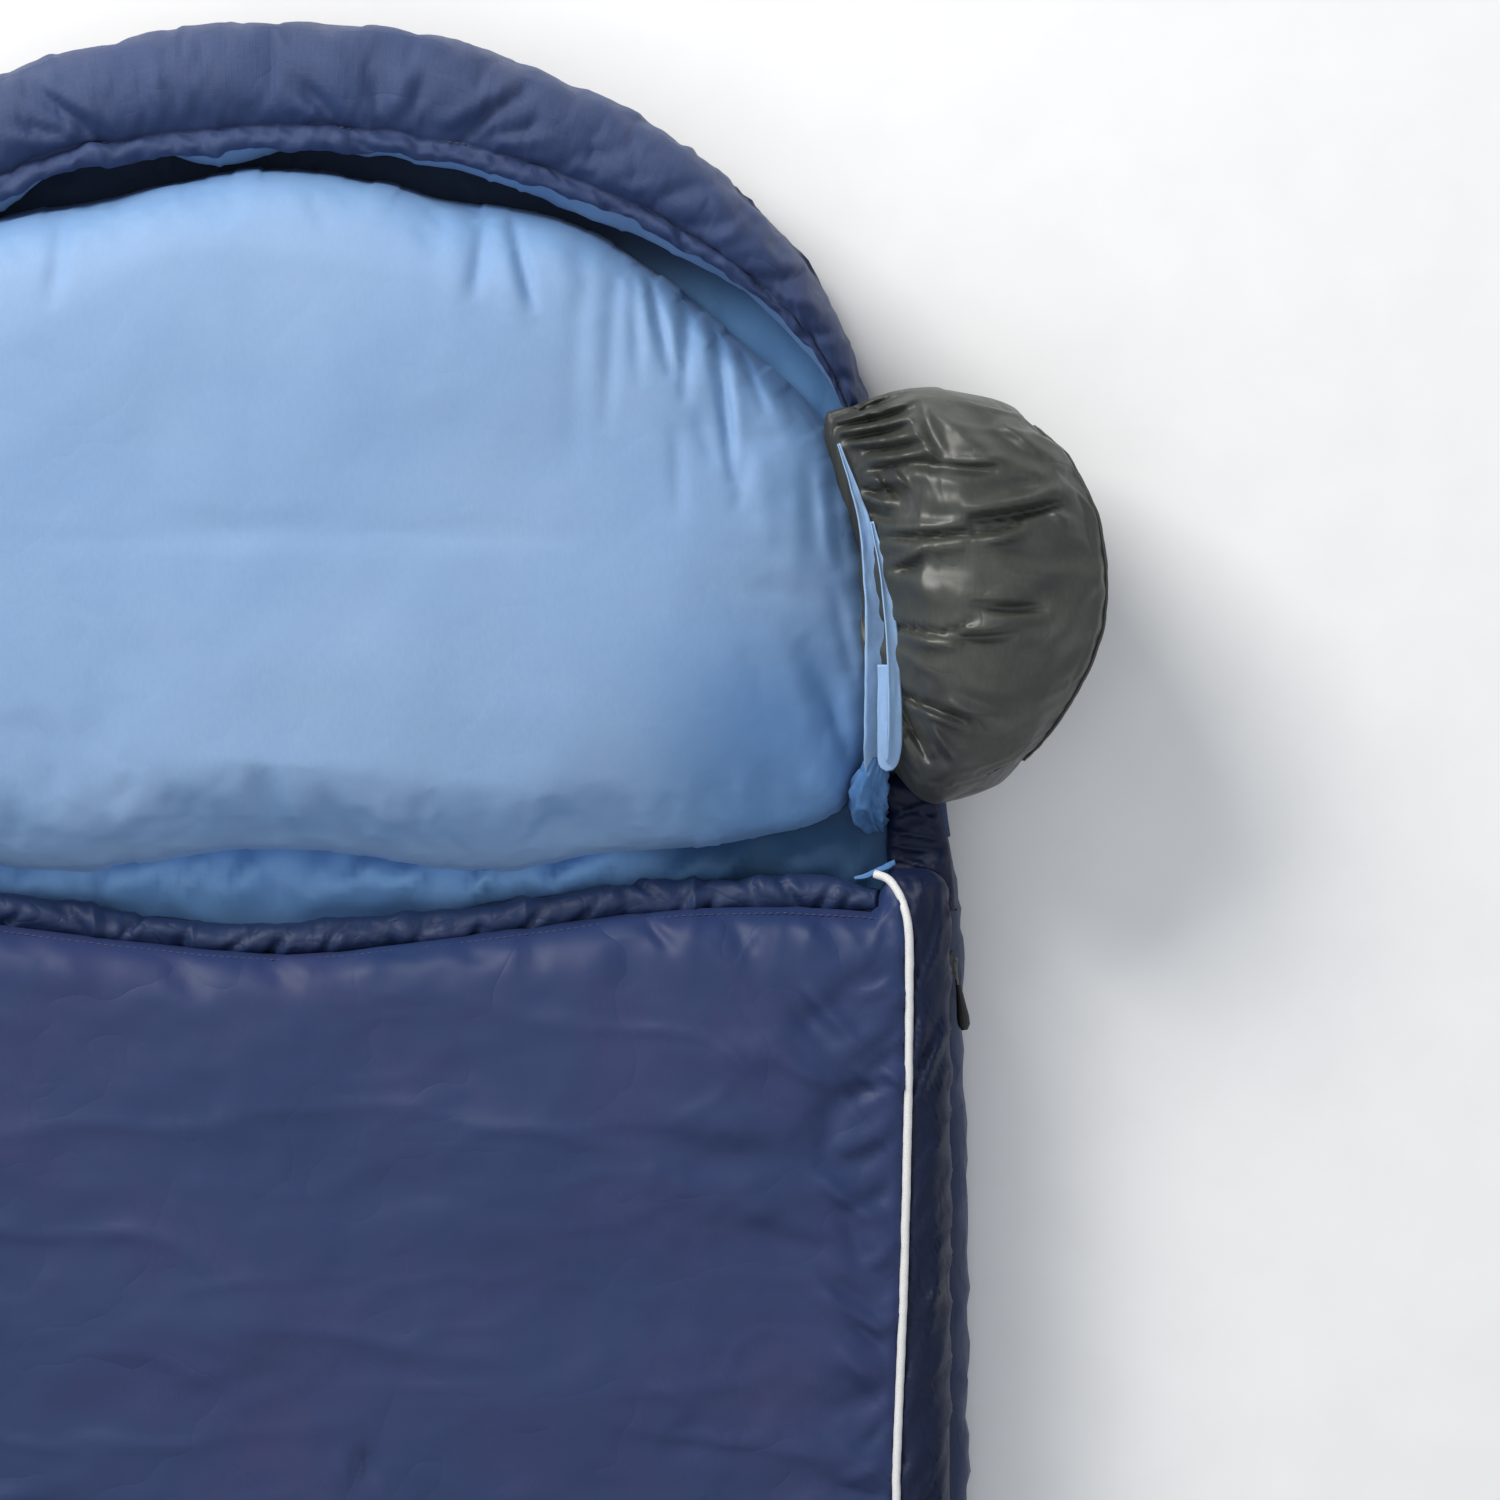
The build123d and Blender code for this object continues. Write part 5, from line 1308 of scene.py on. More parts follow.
    # pale facing that shows under the hem
    fx, fz = [], []
    xs = np.linspace(0, 1, 9)
    a0, a1 = 0.93, 1.12
    G = np.zeros((n, 9, 3))
    side = smooth(870, 905, y_mid)
    for j, t in enumerate(xs):
        a = a0 + wander + (a1 - a0) * t * (0.18 + 0.95 * np.clip(0.5 + 1.5 * fbm(run / 110.0, 0 * run, 141, 2), 0, 1))
        G[:, j, 0] = O[:, 0] + (I[:, 0] - O[:, 0]) * a
        G[:, j, 1] = O[:, 1] + (I[:, 1] - O[:, 1]) * a
        G[:, j, 2] = 50.4 + H * (0.70 - 0.16 * t ** 1.5) - 2.0 * t + 1.5 * np.sin(run / 9.0 + t) * t
    keep = np.where(side > 0.05)[0]
    G = G[keep]
    under = G.copy()
    under[:, :, 2] -= 1.0
    ring = np.concatenate([G, under[:, ::-1]], 1)
    nn = len(keep)
    Ff = grid_faces(nn, 18, close_v=True, flip=False)
    Ff += [tuple(range(17, -1, -1)), tuple((nn - 1) * 18 + j for j in range(18))]
    Cc = np.stack([np.repeat(run[keep][:, None], 18, 1), np.tile(np.r_[xs, xs[::-1]] * 12, (nn, 1)), np.zeros((nn, 18))], -1).reshape(-1, 3)
    f = make_mesh("hood_rim_facing", ring.reshape(-1, 3), Ff, [M["blue"]], Cc)
    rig.slot(f, "light_blue")
    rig.ride(f, "hood")
    return o


# ------------------------------------------------------------------ pillow
PILLOW_R = [(0, 1019), (60, 1011), (101, 1000), (164, 989), (210, 965), (256, 929), (312, 877), (330, 842), (341, 802), (350, 765), (351, 710), (341, 676),
            (334, 655), (324, 643), (290, 632), (249, 624), (190, 620), (150, 612), (121, 609.5), (76, 615), (30, 621), (0, 622)]
# folds that fall from under the rim, at the upper right, and at the lower right
PILLOW_FOLDS = [
    (122, 992, 116, 944, 4.6, -4.6), (136, 990, 149, 936, 3.8, -5.4), (128, 988, 141, 930, 7.5, 3.6), (104, 990, 106, 936, 8, 2.4), (158, 985, 176, 930, 9, 2.6),
    (180, 975, 172, 846, 9, -1.8), (186, 972, 181, 890, 6, 1.6), (197, 955, 191, 868, 5.0, -2.4), (206, 952, 210, 892, 4.0, -2.0), (212, 960, 216, 905, 4.2, 2.0),
    (211, 972, 228, 898, 3.5, -5.6), (226, 955, 231, 905, 4.2, 2.0), (237, 955, 236, 884, 4.0, -4.6), (246, 945, 248, 892, 4.6, 2.8), (251, 948, 264, 836, 3.8, -6.4),
    (262, 928, 268, 862, 4.6, 2.4), (262, 930, 281, 878, 3.5, -4.2), (276, 918, 290, 868, 4.5, 1.8), (290, 905, 300, 872, 3.5, -2.4), (231, 862, 233, 818, 4.6, -2.2),
    (244, 872, 252, 846, 4.6, -1.8), (271, 850, 266, 820, 4.5, -2.2), (278, 850, 284, 800, 7, 1.6), (307, 850, 311, 798, 6, -2.2), (320, 838, 327, 786, 4.2, -3.0),
    (314, 846, 318, 790, 5, 1.8), (300, 830, 297, 770, 8, 1.4), (322, 770, 334, 720, 4.5, -3.0), (306, 740, 330, 690, 6, -2.6), (296, 730, 316, 682, 7, 2.2),
    (318, 715, 332, 672, 4, -3.2), (300, 664, 306, 642, 6, -2.4), (282, 668, 288, 636, 6, -2.6), (268, 664, 272, 634, 5, 2.0), (236, 650, 232, 626, 6, 1.8),
    (246, 654, 244, 628, 5, -2.4), (204, 648, 196, 624, 7, -2.2), (168, 646, 160, 618, 6, -2.4), (152, 652, 148, 616, 7, 2.0), (118, 648, 124, 614, 7, -2.0),
    (86, 654, 78, 620, 6, -2.6), (64, 650, 58, 622, 6, 2.0), (30, 656, 44, 624, 6, -2.8), (6, 664, 22, 628, 7, 2.2), (-10, 668, 8, 628, 6, -3.0),
    (-60, 656, -48, 626, 7, -2.4), (-90, 654, -80, 624, 8, 2.2), (-150, 654, -146, 624, 8, -2.0), (-220, 658, -226, 630, 8, 2.2), (-260, 664, -250, 636, 6, -2.2),
    (-215, 970, -208, 905, 5, -3.6), (-240, 950, -236, 880, 4.5, -4.2), (-262, 930, -252, 862, 5, -3.2), (-180, 978, -176, 900, 8, 2.2), (-120, 990, -126, 940, 6, -3.2),
]


def build_pillow():
    P = spline(mirror(PILLOW_R), 420)[:-1] if False else spline(PILLOW_R[:-1] + [(0, 622)] + [(-x, y) for x, y in reversed(PILLOW_R[1:-1])], 460, closed=True)
    # upper skin on a polar grid about the middle: rows run from the edge seam inwards, so folds follow the gathers
    c = np.array([0.0, 800.0])
    m = 66
    q = np.linspace(0, 1, m) ** 0.9
    ang = np.arctan2(P[:, 1] - c[1], P[:, 0] - c[0])
    per = np.r_[0, np.cumsum(np.linalg.norm(np.diff(np.vstack([P, P[:1]]), axis=0), axis=1))][:-1]
    n = len(P)
    # the middle line the rows shrink onto, so the grid stays even on a wide shape
    spine = np.stack([np.clip(P[:, 0] * 0.52, -180, 180), np.full(n, 806.0) + (P[:, 1] - 806.0) * 0.06], 1)
    XY = P[:, None, :] + (spine[:, None, :] - P[:, None, :]) * q[None, :, None]
    X, Y = XY[..., 0], XY[..., 1]
    poly = [tuple(p) for p in P[::4]]
    d = np.maximum(poly_dist(X, Y, poly), 0)
    d[:, 0] = 0
    up = smooth(640, 1000, Y)
    base = np.where(Y > 800, 58.0, 57.0) + 18 * smooth(300, 345, np.abs(X)) * smooth(900, 820, Y) * smooth(650, 700, Y)
    width = np.interp(Y, [608, 660, 720, 860, 930, 1000], [21, 30, 52, 68, 42, 26]) + 34 * smooth(200, 300, X) * smooth(800, 700, Y)
    crown = np.tanh(1.75 * d / width) ** 0.62
    dome = 1 - np.clip((X / 365.0) ** 2 + ((Y - 830.0) / 215.0) ** 2, 0, 1)
    top = 125.0 + 14.0 * dome ** 0.8 + 4.0 * fbm(X / 150.0, Y / 120.0, 151, 2)
    Z = base + (top - base) * crown
    slope = smooth(0, 130, (X - 215) * 0.82 + (735 - Y) * 0.57)
    Z = Z - 17.0 * slope * smooth(0, 40, d) * smooth(860, 760, Y)
    PR = np.repeat(per[:, None], m, 1)
    g = ridge(PR / 13.0 + d / 90.0, d / 70.0, 153, 1.3) * np.exp(-d / 16.0) + 0.9 * ridge(PR / 29.0 - d / 120.0, d / 90.0, 154, 1.4) * np.exp(-d / 34.0)
    amp = np.where(Y < 680, 1.8, np.where(X > 250, 2.6, 1.8))
    Z = Z + smooth(0, 5, d) * amp * (g - 0.35 * np.exp(-d / 20.0))
    Z = Z + 1.6 * fbm(X / 60.0, Y / 70.0, 155, 3) * smooth(5, 60, d)
    # the edge seam wanders a little
    wob = 1.6 * fbm(per / 24.0, 0 * per, 156, 2)
    X[:, 0] += wob * np.cos(ang)
    Y[:, 0] += wob * np.sin(ang)
    V = np.stack([X, Y, Z], -1)
    # rolled underside of the edge down to the lining
    low = []
    for k, (ins, z) in enumerate(((4.0, 52.8), (16.0, 50.9), (40.0, 50.8))):
        dirs = (spine - P) / np.linalg.norm(spine - P, axis=1, keepdims=True)
        ring = np.c_[P + dirs * ins, np.full(n, z)]
        low.append(ring)
    low = low[::-1]
    R = np.concatenate([np.stack(low, 1), V], 1)
    mm = R.shape[1]
    F = grid_faces(n, mm, close_u=True)
    flatR = R.reshape(-1, 3)
    # close the middle slot of the top and of the underside
    Vv = flatR.tolist()
    def close(col, flip):
        ids = [i * mm + col for i in range(n)]
        ctr = len(Vv)
        Vv.append(np.mean(np.array([Vv[i] for i in ids]), 0).tolist())
        for i in range(n):
            a, b = ids[i], ids[(i + 1) % n]
            F.append((ctr, b, a) if flip else (ctr, a, b))
    close(0, False)
    close(mm - 1, True)
    o = make_mesh("pillow_raw", Vv, F, [M["pillow"]])
    nn = vertex_normals(co_of(o) / MM, faces_of(o))
    if nn[3 * 1 + mm - 1][2] < 0 or nn[np.argmax(co_of(o)[:, 2])][2] < 0:
        o.data.flip_normals()
    o = voxel(o, 5.0)
    co = co_of(o) / MM
    if not QUICK:
        x, y, z = co.T
        dd = poly_dist(x, y, poly)
        pins = np.where(z < 56, 1.0, np.clip(1.0 - (dd - 2) / 7.0, 0, 1)) * (z < 84)
        pins = np.maximum(pins, (z < 54) * 1.0)
        gw = np.exp(-np.maximum(dd, 0) / 45.0)
        simulate(o, pins, frames=10, pressure=2.6, grow=0.006, grow_w=gw, grow_max=0.05, cap=6.0, stiff=13, bend=0.10)
    o = subdivide(o, 1)
    o = apply_modifier(o, "SMOOTH", factor=0.6, iterations=2)
    crease(o, PILLOW_FOLDS, gain=1.0, lo=0.12, hi=0.5, z_min=62)
    co = co_of(o) / MM
    x, y, z = co.T
    # fine gathers at the seam, after the remesh
    dd = np.maximum(poly_dist(x, y, poly), 0)
    near = np.argmin(((x[:, None] - P[None, ::4, 0]) ** 2 + (y[:, None] - P[None, ::4, 1]) ** 2), axis=1) if len(x) < 120000 else None
    if near is None:
        near = np.concatenate([np.argmin(((x[k:k + 20000, None] - P[None, ::4, 0]) ** 2 + (y[k:k + 20000, None] - P[None, ::4, 1]) ** 2), axis=1) for k in range(0, len(x), 20000)])
    pr = per[::4][near]
    nrm = normals_of(o)
    fine = (ridge(pr / 7.5, dd / 40.0, 157, 1.2) - 0.35) * np.exp(-dd / 10.0) * 1.3 * (z > 56)
    fine = fine + (ridge((pr + 0.4 * dd) / 17.0, dd / 60.0, 158, 1.3) - 0.3) * np.exp(-dd / 15.0) * 2.6 * smooth(60, 70, z) * np.where(y < 700, 0.8, np.where(x > 200, 0.8, 0.35))
    co = co + nrm * fine[:, None]
    put_co(o, co * MM)
    add_coord(o, co)
    o.name = o.data.name = "pillow"
    o.data.polygons.foreach_set("use_smooth", [True] * len(o.data.polygons))
    o.data.materials.clear()
    o.data.materials.append(M["pillow"])
    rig.replaces(o, "pillow_cover", "pillow_fill")
    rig.slot(o, "light_blue")
    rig.blend(o, "base", "hood", start=(0, 0.610, 0.055), end=(0, 0.705, 0.055))
    return o


# ------------------------------------------------------------------ stuff sack
SACK_FOLDS = [  # over the top, in plan: x0, y0, x1, y1, width, height
    (400, 812, 452, 822, 2.6, -6.5), (402, 806, 428, 811, 2.2, -5.0), (398, 818, 448, 829, 3.4, 4.5), (404, 800, 430, 806, 3.0, 4.2), (446, 818, 458, 812, 3.0, 2.6),
    (347, 803, 402, 806, 1.9, -6.0), (348, 809, 396, 811, 3.6, 3.4), (350, 797, 400, 799, 4.0, 3.0), (352, 788, 372, 796, 2.6, 4.2), (356, 784, 374, 789, 2.2, -4.5), (350, 776, 392, 770, 7.0, 1.6),
    (352, 754, 384, 747, 1.9, -6.5), (384, 748, 402, 755, 1.9, -4.0), (392, 751, 424, 752, 3.4, 4.2), (388, 745, 424, 748, 2.4, -4.6), (358, 746, 392, 741, 3.0, 3.8), (402, 764, 442, 762, 2.6, -4.8),
    (396, 768, 440, 772, 4.6, 3.4), (404, 757, 444, 757, 2.6, 3.0), (424, 770, 456, 776, 6.0, -3.0), (410, 790, 462, 778, 7.0, 2.6), (405, 742, 462, 736, 9.0, -2.4), (414, 796, 470, 792, 7.0, -2.4),
    (354, 716, 396, 698, 2.4, -6.0), (360, 709, 396, 694, 2.6, 4.6), (358, 712, 376, 676, 2.6, -8.0), (352, 704, 368, 672, 3.4, 4.6), (368, 704, 386, 676, 3.0, -4.2), (374, 698, 390, 676, 3.4, 5.2), (386, 708, 414, 700, 4.0, 4.0),
    (384, 692, 420, 690, 6.0, -3.0), (392, 722, 440, 712, 9.0, 2.4), (400, 680, 440, 700, 8.0, -2.6), (384, 668, 430, 676, 5.0, 2.6),
    (322, 873, 366, 887, 2.2, -4.5), (324, 871, 366, 882, 2.2, 3.8), (322, 867, 366, 877, 2.2, -5.0), (326, 864, 366, 872, 2.0, 4.0), (326, 860, 364, 867, 2.0, -5.0), (332, 857, 368, 862, 2.2, 4.2), (340, 853, 372, 857, 1.8, -4.8),
    (342, 848, 376, 852, 2.6, 4.4), (344, 842, 362, 846, 1.9, -4.2), (340, 838, 356, 835, 2.4, 6.0), (348, 838, 360, 826, 2.2, -5.5), (354, 842, 364, 832, 2.4, 5.0), (338, 831, 352, 830, 1.8, -5.0), (340, 826, 356, 822, 2.4, 4.5),
    (342, 818, 356, 814, 2.0, -4.2), (372, 878, 384, 850, 4.6, -4.6), (366, 868, 380, 848, 3.6, 4.0), (364, 846, 412, 842, 3.6, -4.6), (370, 838, 416, 834, 7.0, 2.6), (384, 872, 424, 846, 8.0, 3.6), (396, 876, 440, 846, 6.0, -2.6),
    (388, 846, 418, 848, 3.4, 3.0), (404, 832, 450, 836, 5.0, -2.6), (428, 842, 462, 828, 6.0, 2.2), (372, 826, 420, 822, 6.0, 2.2), (420, 868, 452, 846, 4.0, 2.4), (440, 716, 466, 748, 6.0, -2.4), (446, 742, 470, 778, 7.0, 2.0),
]
SACK_ARC = [(676, 431), (684, 439), (695, 448), (704, 454), (714, 460), (730, 468.5), (751, 475.6), (770, 477.4), (790, 477), (815, 473), (832, 465.5), (851, 455.5), (868, 437)]


def build_sack():
    n, seg = 70, 156
    ang = np.arange(seg) * 2 * math.pi / seg
    ca, sa = np.cos(ang), np.sin(ang)

    def powr(v, e):
        return np.sign(v) * np.abs(v) ** e

    M0 = np.stack([341 + 4 * sa - 6 * ca - 17 * np.maximum(ca, 0) ** 3, 782 + np.where(ca > 0, 93, 106) * powr(ca, 0.95), 85 + 24 * powr(sa, 0.9)], 1)
    B0 = np.stack([384 + 6 * sa, 770 + 118 * powr(ca, 0.90), 79.5 + 70.5 * powr(sa, 0.86)], 1)
    yr = 772 + 96 * ca
    xa = np.interp(yr, [r[0] for r in SACK_ARC], [r[1] for r in SACK_ARC])
    S0 = np.stack([xa - 24 * np.maximum(0, -sa), yr, np.where(sa > 0, 76 + 43 * np.abs(sa) ** 0.8, 76 - 55 * np.abs(sa) ** 0.8)], 1)
    tm = np.stack([np.full(seg, 46.0), 16 * ca, 66 * sa], 1)
    tb = np.stack([52 + 20 * sa, -9 * ca - 3, 3 * sa], 1)
    ts = np.stack([34 + 6 * np.abs(sa), -52 * ca, -84 * sa + 4], 1)
    rows = []
    for t in np.linspace(0, 2, n):
        if t <= 1:
            p, q, u, v, k = M0, B0, tm, tb, t
        else:
            p, q, u, v, k = B0, S0, tb, ts, t - 1
        h = (2 * k ** 3 - 3 * k ** 2 + 1, k ** 3 - 2 * k ** 2 + k, -2 * k ** 3 + 3 * k ** 2, k ** 3 - k ** 2)
        rows.append(h[0] * p + h[1] * u + h[2] * q + h[3] * v)
    V = np.array(rows)
    t = np.linspace(0, 1, n)[:, None]
    A = ang[None, :] + 0 * t
    g = ridge(A * 4.3, t * 1.1 + 0 * A, 161, 1.3) * np.exp(-t * 4.6) * 4.0 + ridge(A * 9.0, t * 1.6 + 0 * A, 162, 1.3) * np.exp(-t * 9.0) * 2.0
    g += 2.2 * ridge(A * 3.4 + 0.5 * t, t * 1.3 + 0 * A, 163, 1.7) * (1 - 0.5 * t) + 1.8 * fbm(A * 1.6, t * 2.5 + 0 * A, 164, 3)
    g += 1.5 * ridge(A * 8.5 - 0.6 * t, t * 2.6 + 0 * A, 165, 1.5) * np.exp(-(1 - t) * 7.0)
    g -= 2.0
    Vf = V.reshape(-1, 3)
    F = grid_faces(n, seg, close_v=True)
    nrm = vertex_normals(Vf, F)
    mid = np.repeat(V.mean(1)[:, None], seg, 1).reshape(-1, 3)
    if np.sum((Vf - mid) * nrm) < 0:
        nrm = -nrm
    edge = np.minimum(1, (1 - t) * 16) * np.ones((1, seg))
    side = (np.abs(ca)[None, :] ** 6) * 0.7
    Vf = Vf + nrm * (g * edge * (1 - side)).reshape(-1, 1)
    body = Vf.reshape(n, seg, 3)
    # mouth: drawn in to a puckered end, hidden beside the pillow
    cm = body[0].mean(0)
    mouth = []
    for f, dx in ((0.93, -3.5), (0.76, -5.0), (0.48, -4.0), (0.20, 2.0)):
        r = cm + (body[0] - cm) * f
        r[:, 0] = body[0][:, 0] * f + cm[0] * (1 - f) + dx
        mouth.append(r)
    # base disc, puffed out, beyond its own seam
    cb = body[-1].mean(0)
    cb = np.array([cb[0] + 5.0, cb[1] - 3, cb[2]])
    push = np.array([0.84, -0.42, -0.20])
    cap = []
    for f in (1.006, 0.992, 0.972, 0.93, 0.86, 0.74, 0.58, 0.38, 0.18):
        r = cb + (body[-1] - cb) * min(f, 1.0)
        b = 4.6 * max(0.0, 1 - f * f) ** 0.55 + (0.9 if f > 1 else 0)
        r = r + push * b
        if f < 0.96:
            r = r + push * (1.2 * fbm(r[:, 1] / 22.0, r[:, 2] / 18.0, 166, 3))[:, None]
        if 0.98 < f < 1.0:
            r = r - push * 1.2
        cap.append(r)
    allr = np.concatenate([np.stack(mouth[::-1]), body, np.stack(cap)], 0)
    N2 = len(allr)
    F = grid_faces(N2, seg, close_v=True)
    Vv = allr.reshape(-1, 3).tolist()
    Cc = np.zeros((N2, seg, 3))
    Cc[..., 0] = allr[..., 0]
    Cc[..., 1] = ang * 95.0
    for q in range(N2 - len(cap), N2):
        Cc[q, :, 0] = allr[q, :, 1]
        Cc[q, :, 1] = allr[q, :, 2]
    Cc = Cc.reshape(-1, 3).tolist()
    for e in (0, N2 - 1):
        c = len(Vv)
        Vv.append(np.mean(allr[e], 0).tolist())
        Cc.append(np.mean(Cc[e * seg:(e + 1) * seg], 0).tolist())
        for j in range(seg):
            a, b = e * seg + j, e * seg + (j + 1) % seg
            F.append((c, a, b) if e else (c, b, a))
    o = outward(make_mesh("sack", Vv, F, [M["grey"]], Cc))
    if not QUICK:
        k0, k1 = len(mouth), N2 - len(cap)
        pins = np.zeros((N2, seg))
        pins[:k0 + 1] = 1
        pins[k1 - 1:] = 1
        pins[k0 + 1:k0 + 4] = 0.25
        pins = np.r_[pins.ravel(), 1, 1]
        simulate(o, pins, frames=8, pressure=1.4, grow=0.03, cap=3.5, stiff=12, bend=0.04)
    co = co_of(o) / MM
    co[:, 2] = np.clip(co[:, 2], 8.0, 153.0)
    co[:, 0] = np.minimum(co[:, 0], 484.0)
    put_co(o, co * MM)
    seam = co[:N2 * seg].reshape(N2, seg, 3)[N2 - len(cap)].copy()
    o = subdivide(o, 1)
    crease(o, SACK_FOLDS, gain=1.45, lo=0.05, hi=0.4)
    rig.replaces(o, "sack_shell", "sack_stuffing", "sack_base", "sack_mouth_binding")
    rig.slot(o, "grey_nylon")
    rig.blend(o, "hood", "stuff_sack", start=(0.336, 0.770, 0.110), end=(0.386, 0.770, 0.110))
    seam = np.vstack([seam, seam[:1]])
    p = outward(tube_mesh("sack_base_seam", seam, 1.0, [M["grey"]], seg=8, rad_fn=lambda s, a: 1 + 0.12 * math.sin(s / 1.7), cap=True))
    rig.replaces(p, "sack_base_piping")
    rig.slot(p, "grey_nylon")
    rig.ride(p, "stuff_sack")
    return o


# ------------------------------------------------------------------ doubled hem strip beside the pillow, and the gathered end below it
def ribbon_mesh(name, path, width, tilt, mats, thick=1.1, wave=0.8, seed=0):
    """Folded cloth strip: path in mm, standing on edge and leaning by tilt (radians from upright, towards +X)."""
    P = np.asarray(path, float)
    n = len(P)
    T = np.gradient(P, axis=0)
    T /= np.maximum(np.linalg.norm(T, axis=1, keepdims=True), 1e-9)
    run = np.r_[0, np.cumsum(np.linalg.norm(np.diff(P, axis=0), axis=1))]
    side = np.cross(T, np.array([0, 0, 1.0]))
    side /= np.maximum(np.linalg.norm(side, axis=1, keepdims=True), 1e-9)
    tilt = np.broadcast_to(tilt, (n,))
    width = np.broadcast_to(width, (n,))
    k = 10
    rings, C = [], []
    for i in range(n):
        w = np.linspace(-0.5, 0.5, k)
        ax = side[i] * math.sin(tilt[i]) + np.array([0, 0, 1.0]) * math.cos(tilt[i])
        nx = np.cross(T[i], ax)
        off = wave * np.array([float(fbm(run[i] / 16.0, q * 2.0, seed, 2)) for q in w]) * 2.0
        a = P[i] + ax[None] * (w * width[i])[:, None] + nx[None] * (off + 0.9 * np.cos(w * math.pi))[:, None]
        b = a - nx[None] * thick
        rings.append(np.vstack([a, b[::-1]]))
        C.append(np.c_[np.full(2 * k, run[i]), np.r_[w, w[::-1]] * width[i], np.zeros(2 * k)])
    V = np.array(rings).reshape(-1, 3)
    m = 2 * k
    F = grid_faces(n, m, close_v=True)
    F += [tuple(range(m - 1, -1, -1)), tuple((n - 1) * m + j for j in range(m))]
    o = make_mesh(name, V, F, mats, np.array(C).reshape(-1, 3))
    return o


def build_hem_strip():
    a = spline([(324, 857, 101), (332, 834, 107), (339.5, 808, 112), (344.5, 770, 114), (346.0, 726, 114), (345.5, 690, 110), (344.5, 670, 100), (345, 660, 86)], 120)
    o = ribbon_mesh("pocket_hem_inner", a, np.interp(np.linspace(0, 1, 120), [0, 0.2, 0.5, 0.85, 1], [1.5, 7, 15, 16, 7]), 1.05, [M["tape"]], wave=0.5, seed=171)
    b = spline([(343, 812, 113), (350.5, 780, 121), (354.5, 745, 125), (356.0, 715, 125), (356.2, 690, 120), (355.4, 677, 114), (352.6, 672.5, 111), (350.2, 677, 112), (350.0, 694, 116), (350.2, 730, 120)], 150)
    p = ribbon_mesh("pocket_hem_outer", b, np.interp(np.linspace(0, 1, 150), [0, 0.2, 0.62, 0.75, 1], [2, 7, 9.5, 7, 7]), 1.0, [M["tape"]], wave=0.3, seed=172)
    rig.replaces(o, "pocket_hem_strip")
    for q in (o, p):
        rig.slot(q, "pale_blue_tape")
        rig.ride(q, "hood")
    # bunched end of the pocket below the strip
    V, C = [], []
    n, seg = 60, 36
    path = spline([(347, 678, 102), (345, 669, 96), (342.5, 660, 87), (342, 651, 76), (344, 643, 64), (347, 637, 55)], n)
    rad = np.interp(np.linspace(0, 1, n), [0, 0.15, 0.4, 0.7, 1], [4, 7.5, 9.5, 10, 6])
    T = np.gradient(path, axis=0)
    T /= np.linalg.norm(T, axis=1, keepdims=True)
    run = np.r_[0, np.cumsum(np.linalg.norm(np.diff(path, axis=0), axis=1))]
    for i in range(n):
        s = np.cross(T[i], [0, 0, 1.0])
        s /= np.linalg.norm(s)
        u = np.cross(s, T[i])
        for j in range(seg):
            ang = 2 * math.pi * j / seg
            k = 0.60 + 0.60 * float(ridge(ang * 1.7 + run[i] / 50.0, run[i] / 60.0, 173, 1.0)) + 0.20 * float(ridge(ang * 3.6 - run[i] / 30.0, run[i] / 34.0, 174, 1.1))
            V.append(path[i] + s * rad[i] * k * math.cos(ang) + u * rad[i] * k * math.sin(ang))
            C.append((run[i], ang * 10, 0))
    F = grid_faces(n, seg, close_v=True)
    for e in (0, n - 1):
        c = len(V)
        V.append(np.mean(V[e * seg:(e + 1) * seg], 0))
        C.append((run[e], 0, 0))
        for j in range(seg):
            x1, x2 = e * seg + j, e * seg + (j + 1) % seg
            F.append((c, x1, x2) if e else (c, x2, x1))
    # the bunched end takes the darker copy of the lining: painted shade
    g = make_mesh("pocket_corner_gather", V, F, [M["gather"]], C)
    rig.slot(g, "light_blue")
    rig.blend(g, "base", "hood", start=(0, 0.610, 0.055), end=(0, 0.705, 0.055))


def build_corner_lining():
    """Fold of pale lining that shows past the collar's zip-side end."""
    n = 46
    P = spline([(334, 606.5, 82), (340, 608.0, 84.5), (346, 610.5, 86), (352, 613.5, 85.5), (357, 616.0, 82)], n)
    w = np.interp(np.linspace(0, 1, n), [0, 0.3, 0.8, 1], [1.5, 4, 5, 2.5])
    # the fold takes the darker copy of the lining: painted shade
    o = ribbon_mesh("cover_corner_lining", P, w, 0.9, [M["gather"]], thick=0.9, wave=0.9, seed=181)
    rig.slot(o, "light_blue")
    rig.ride(o, "cover")


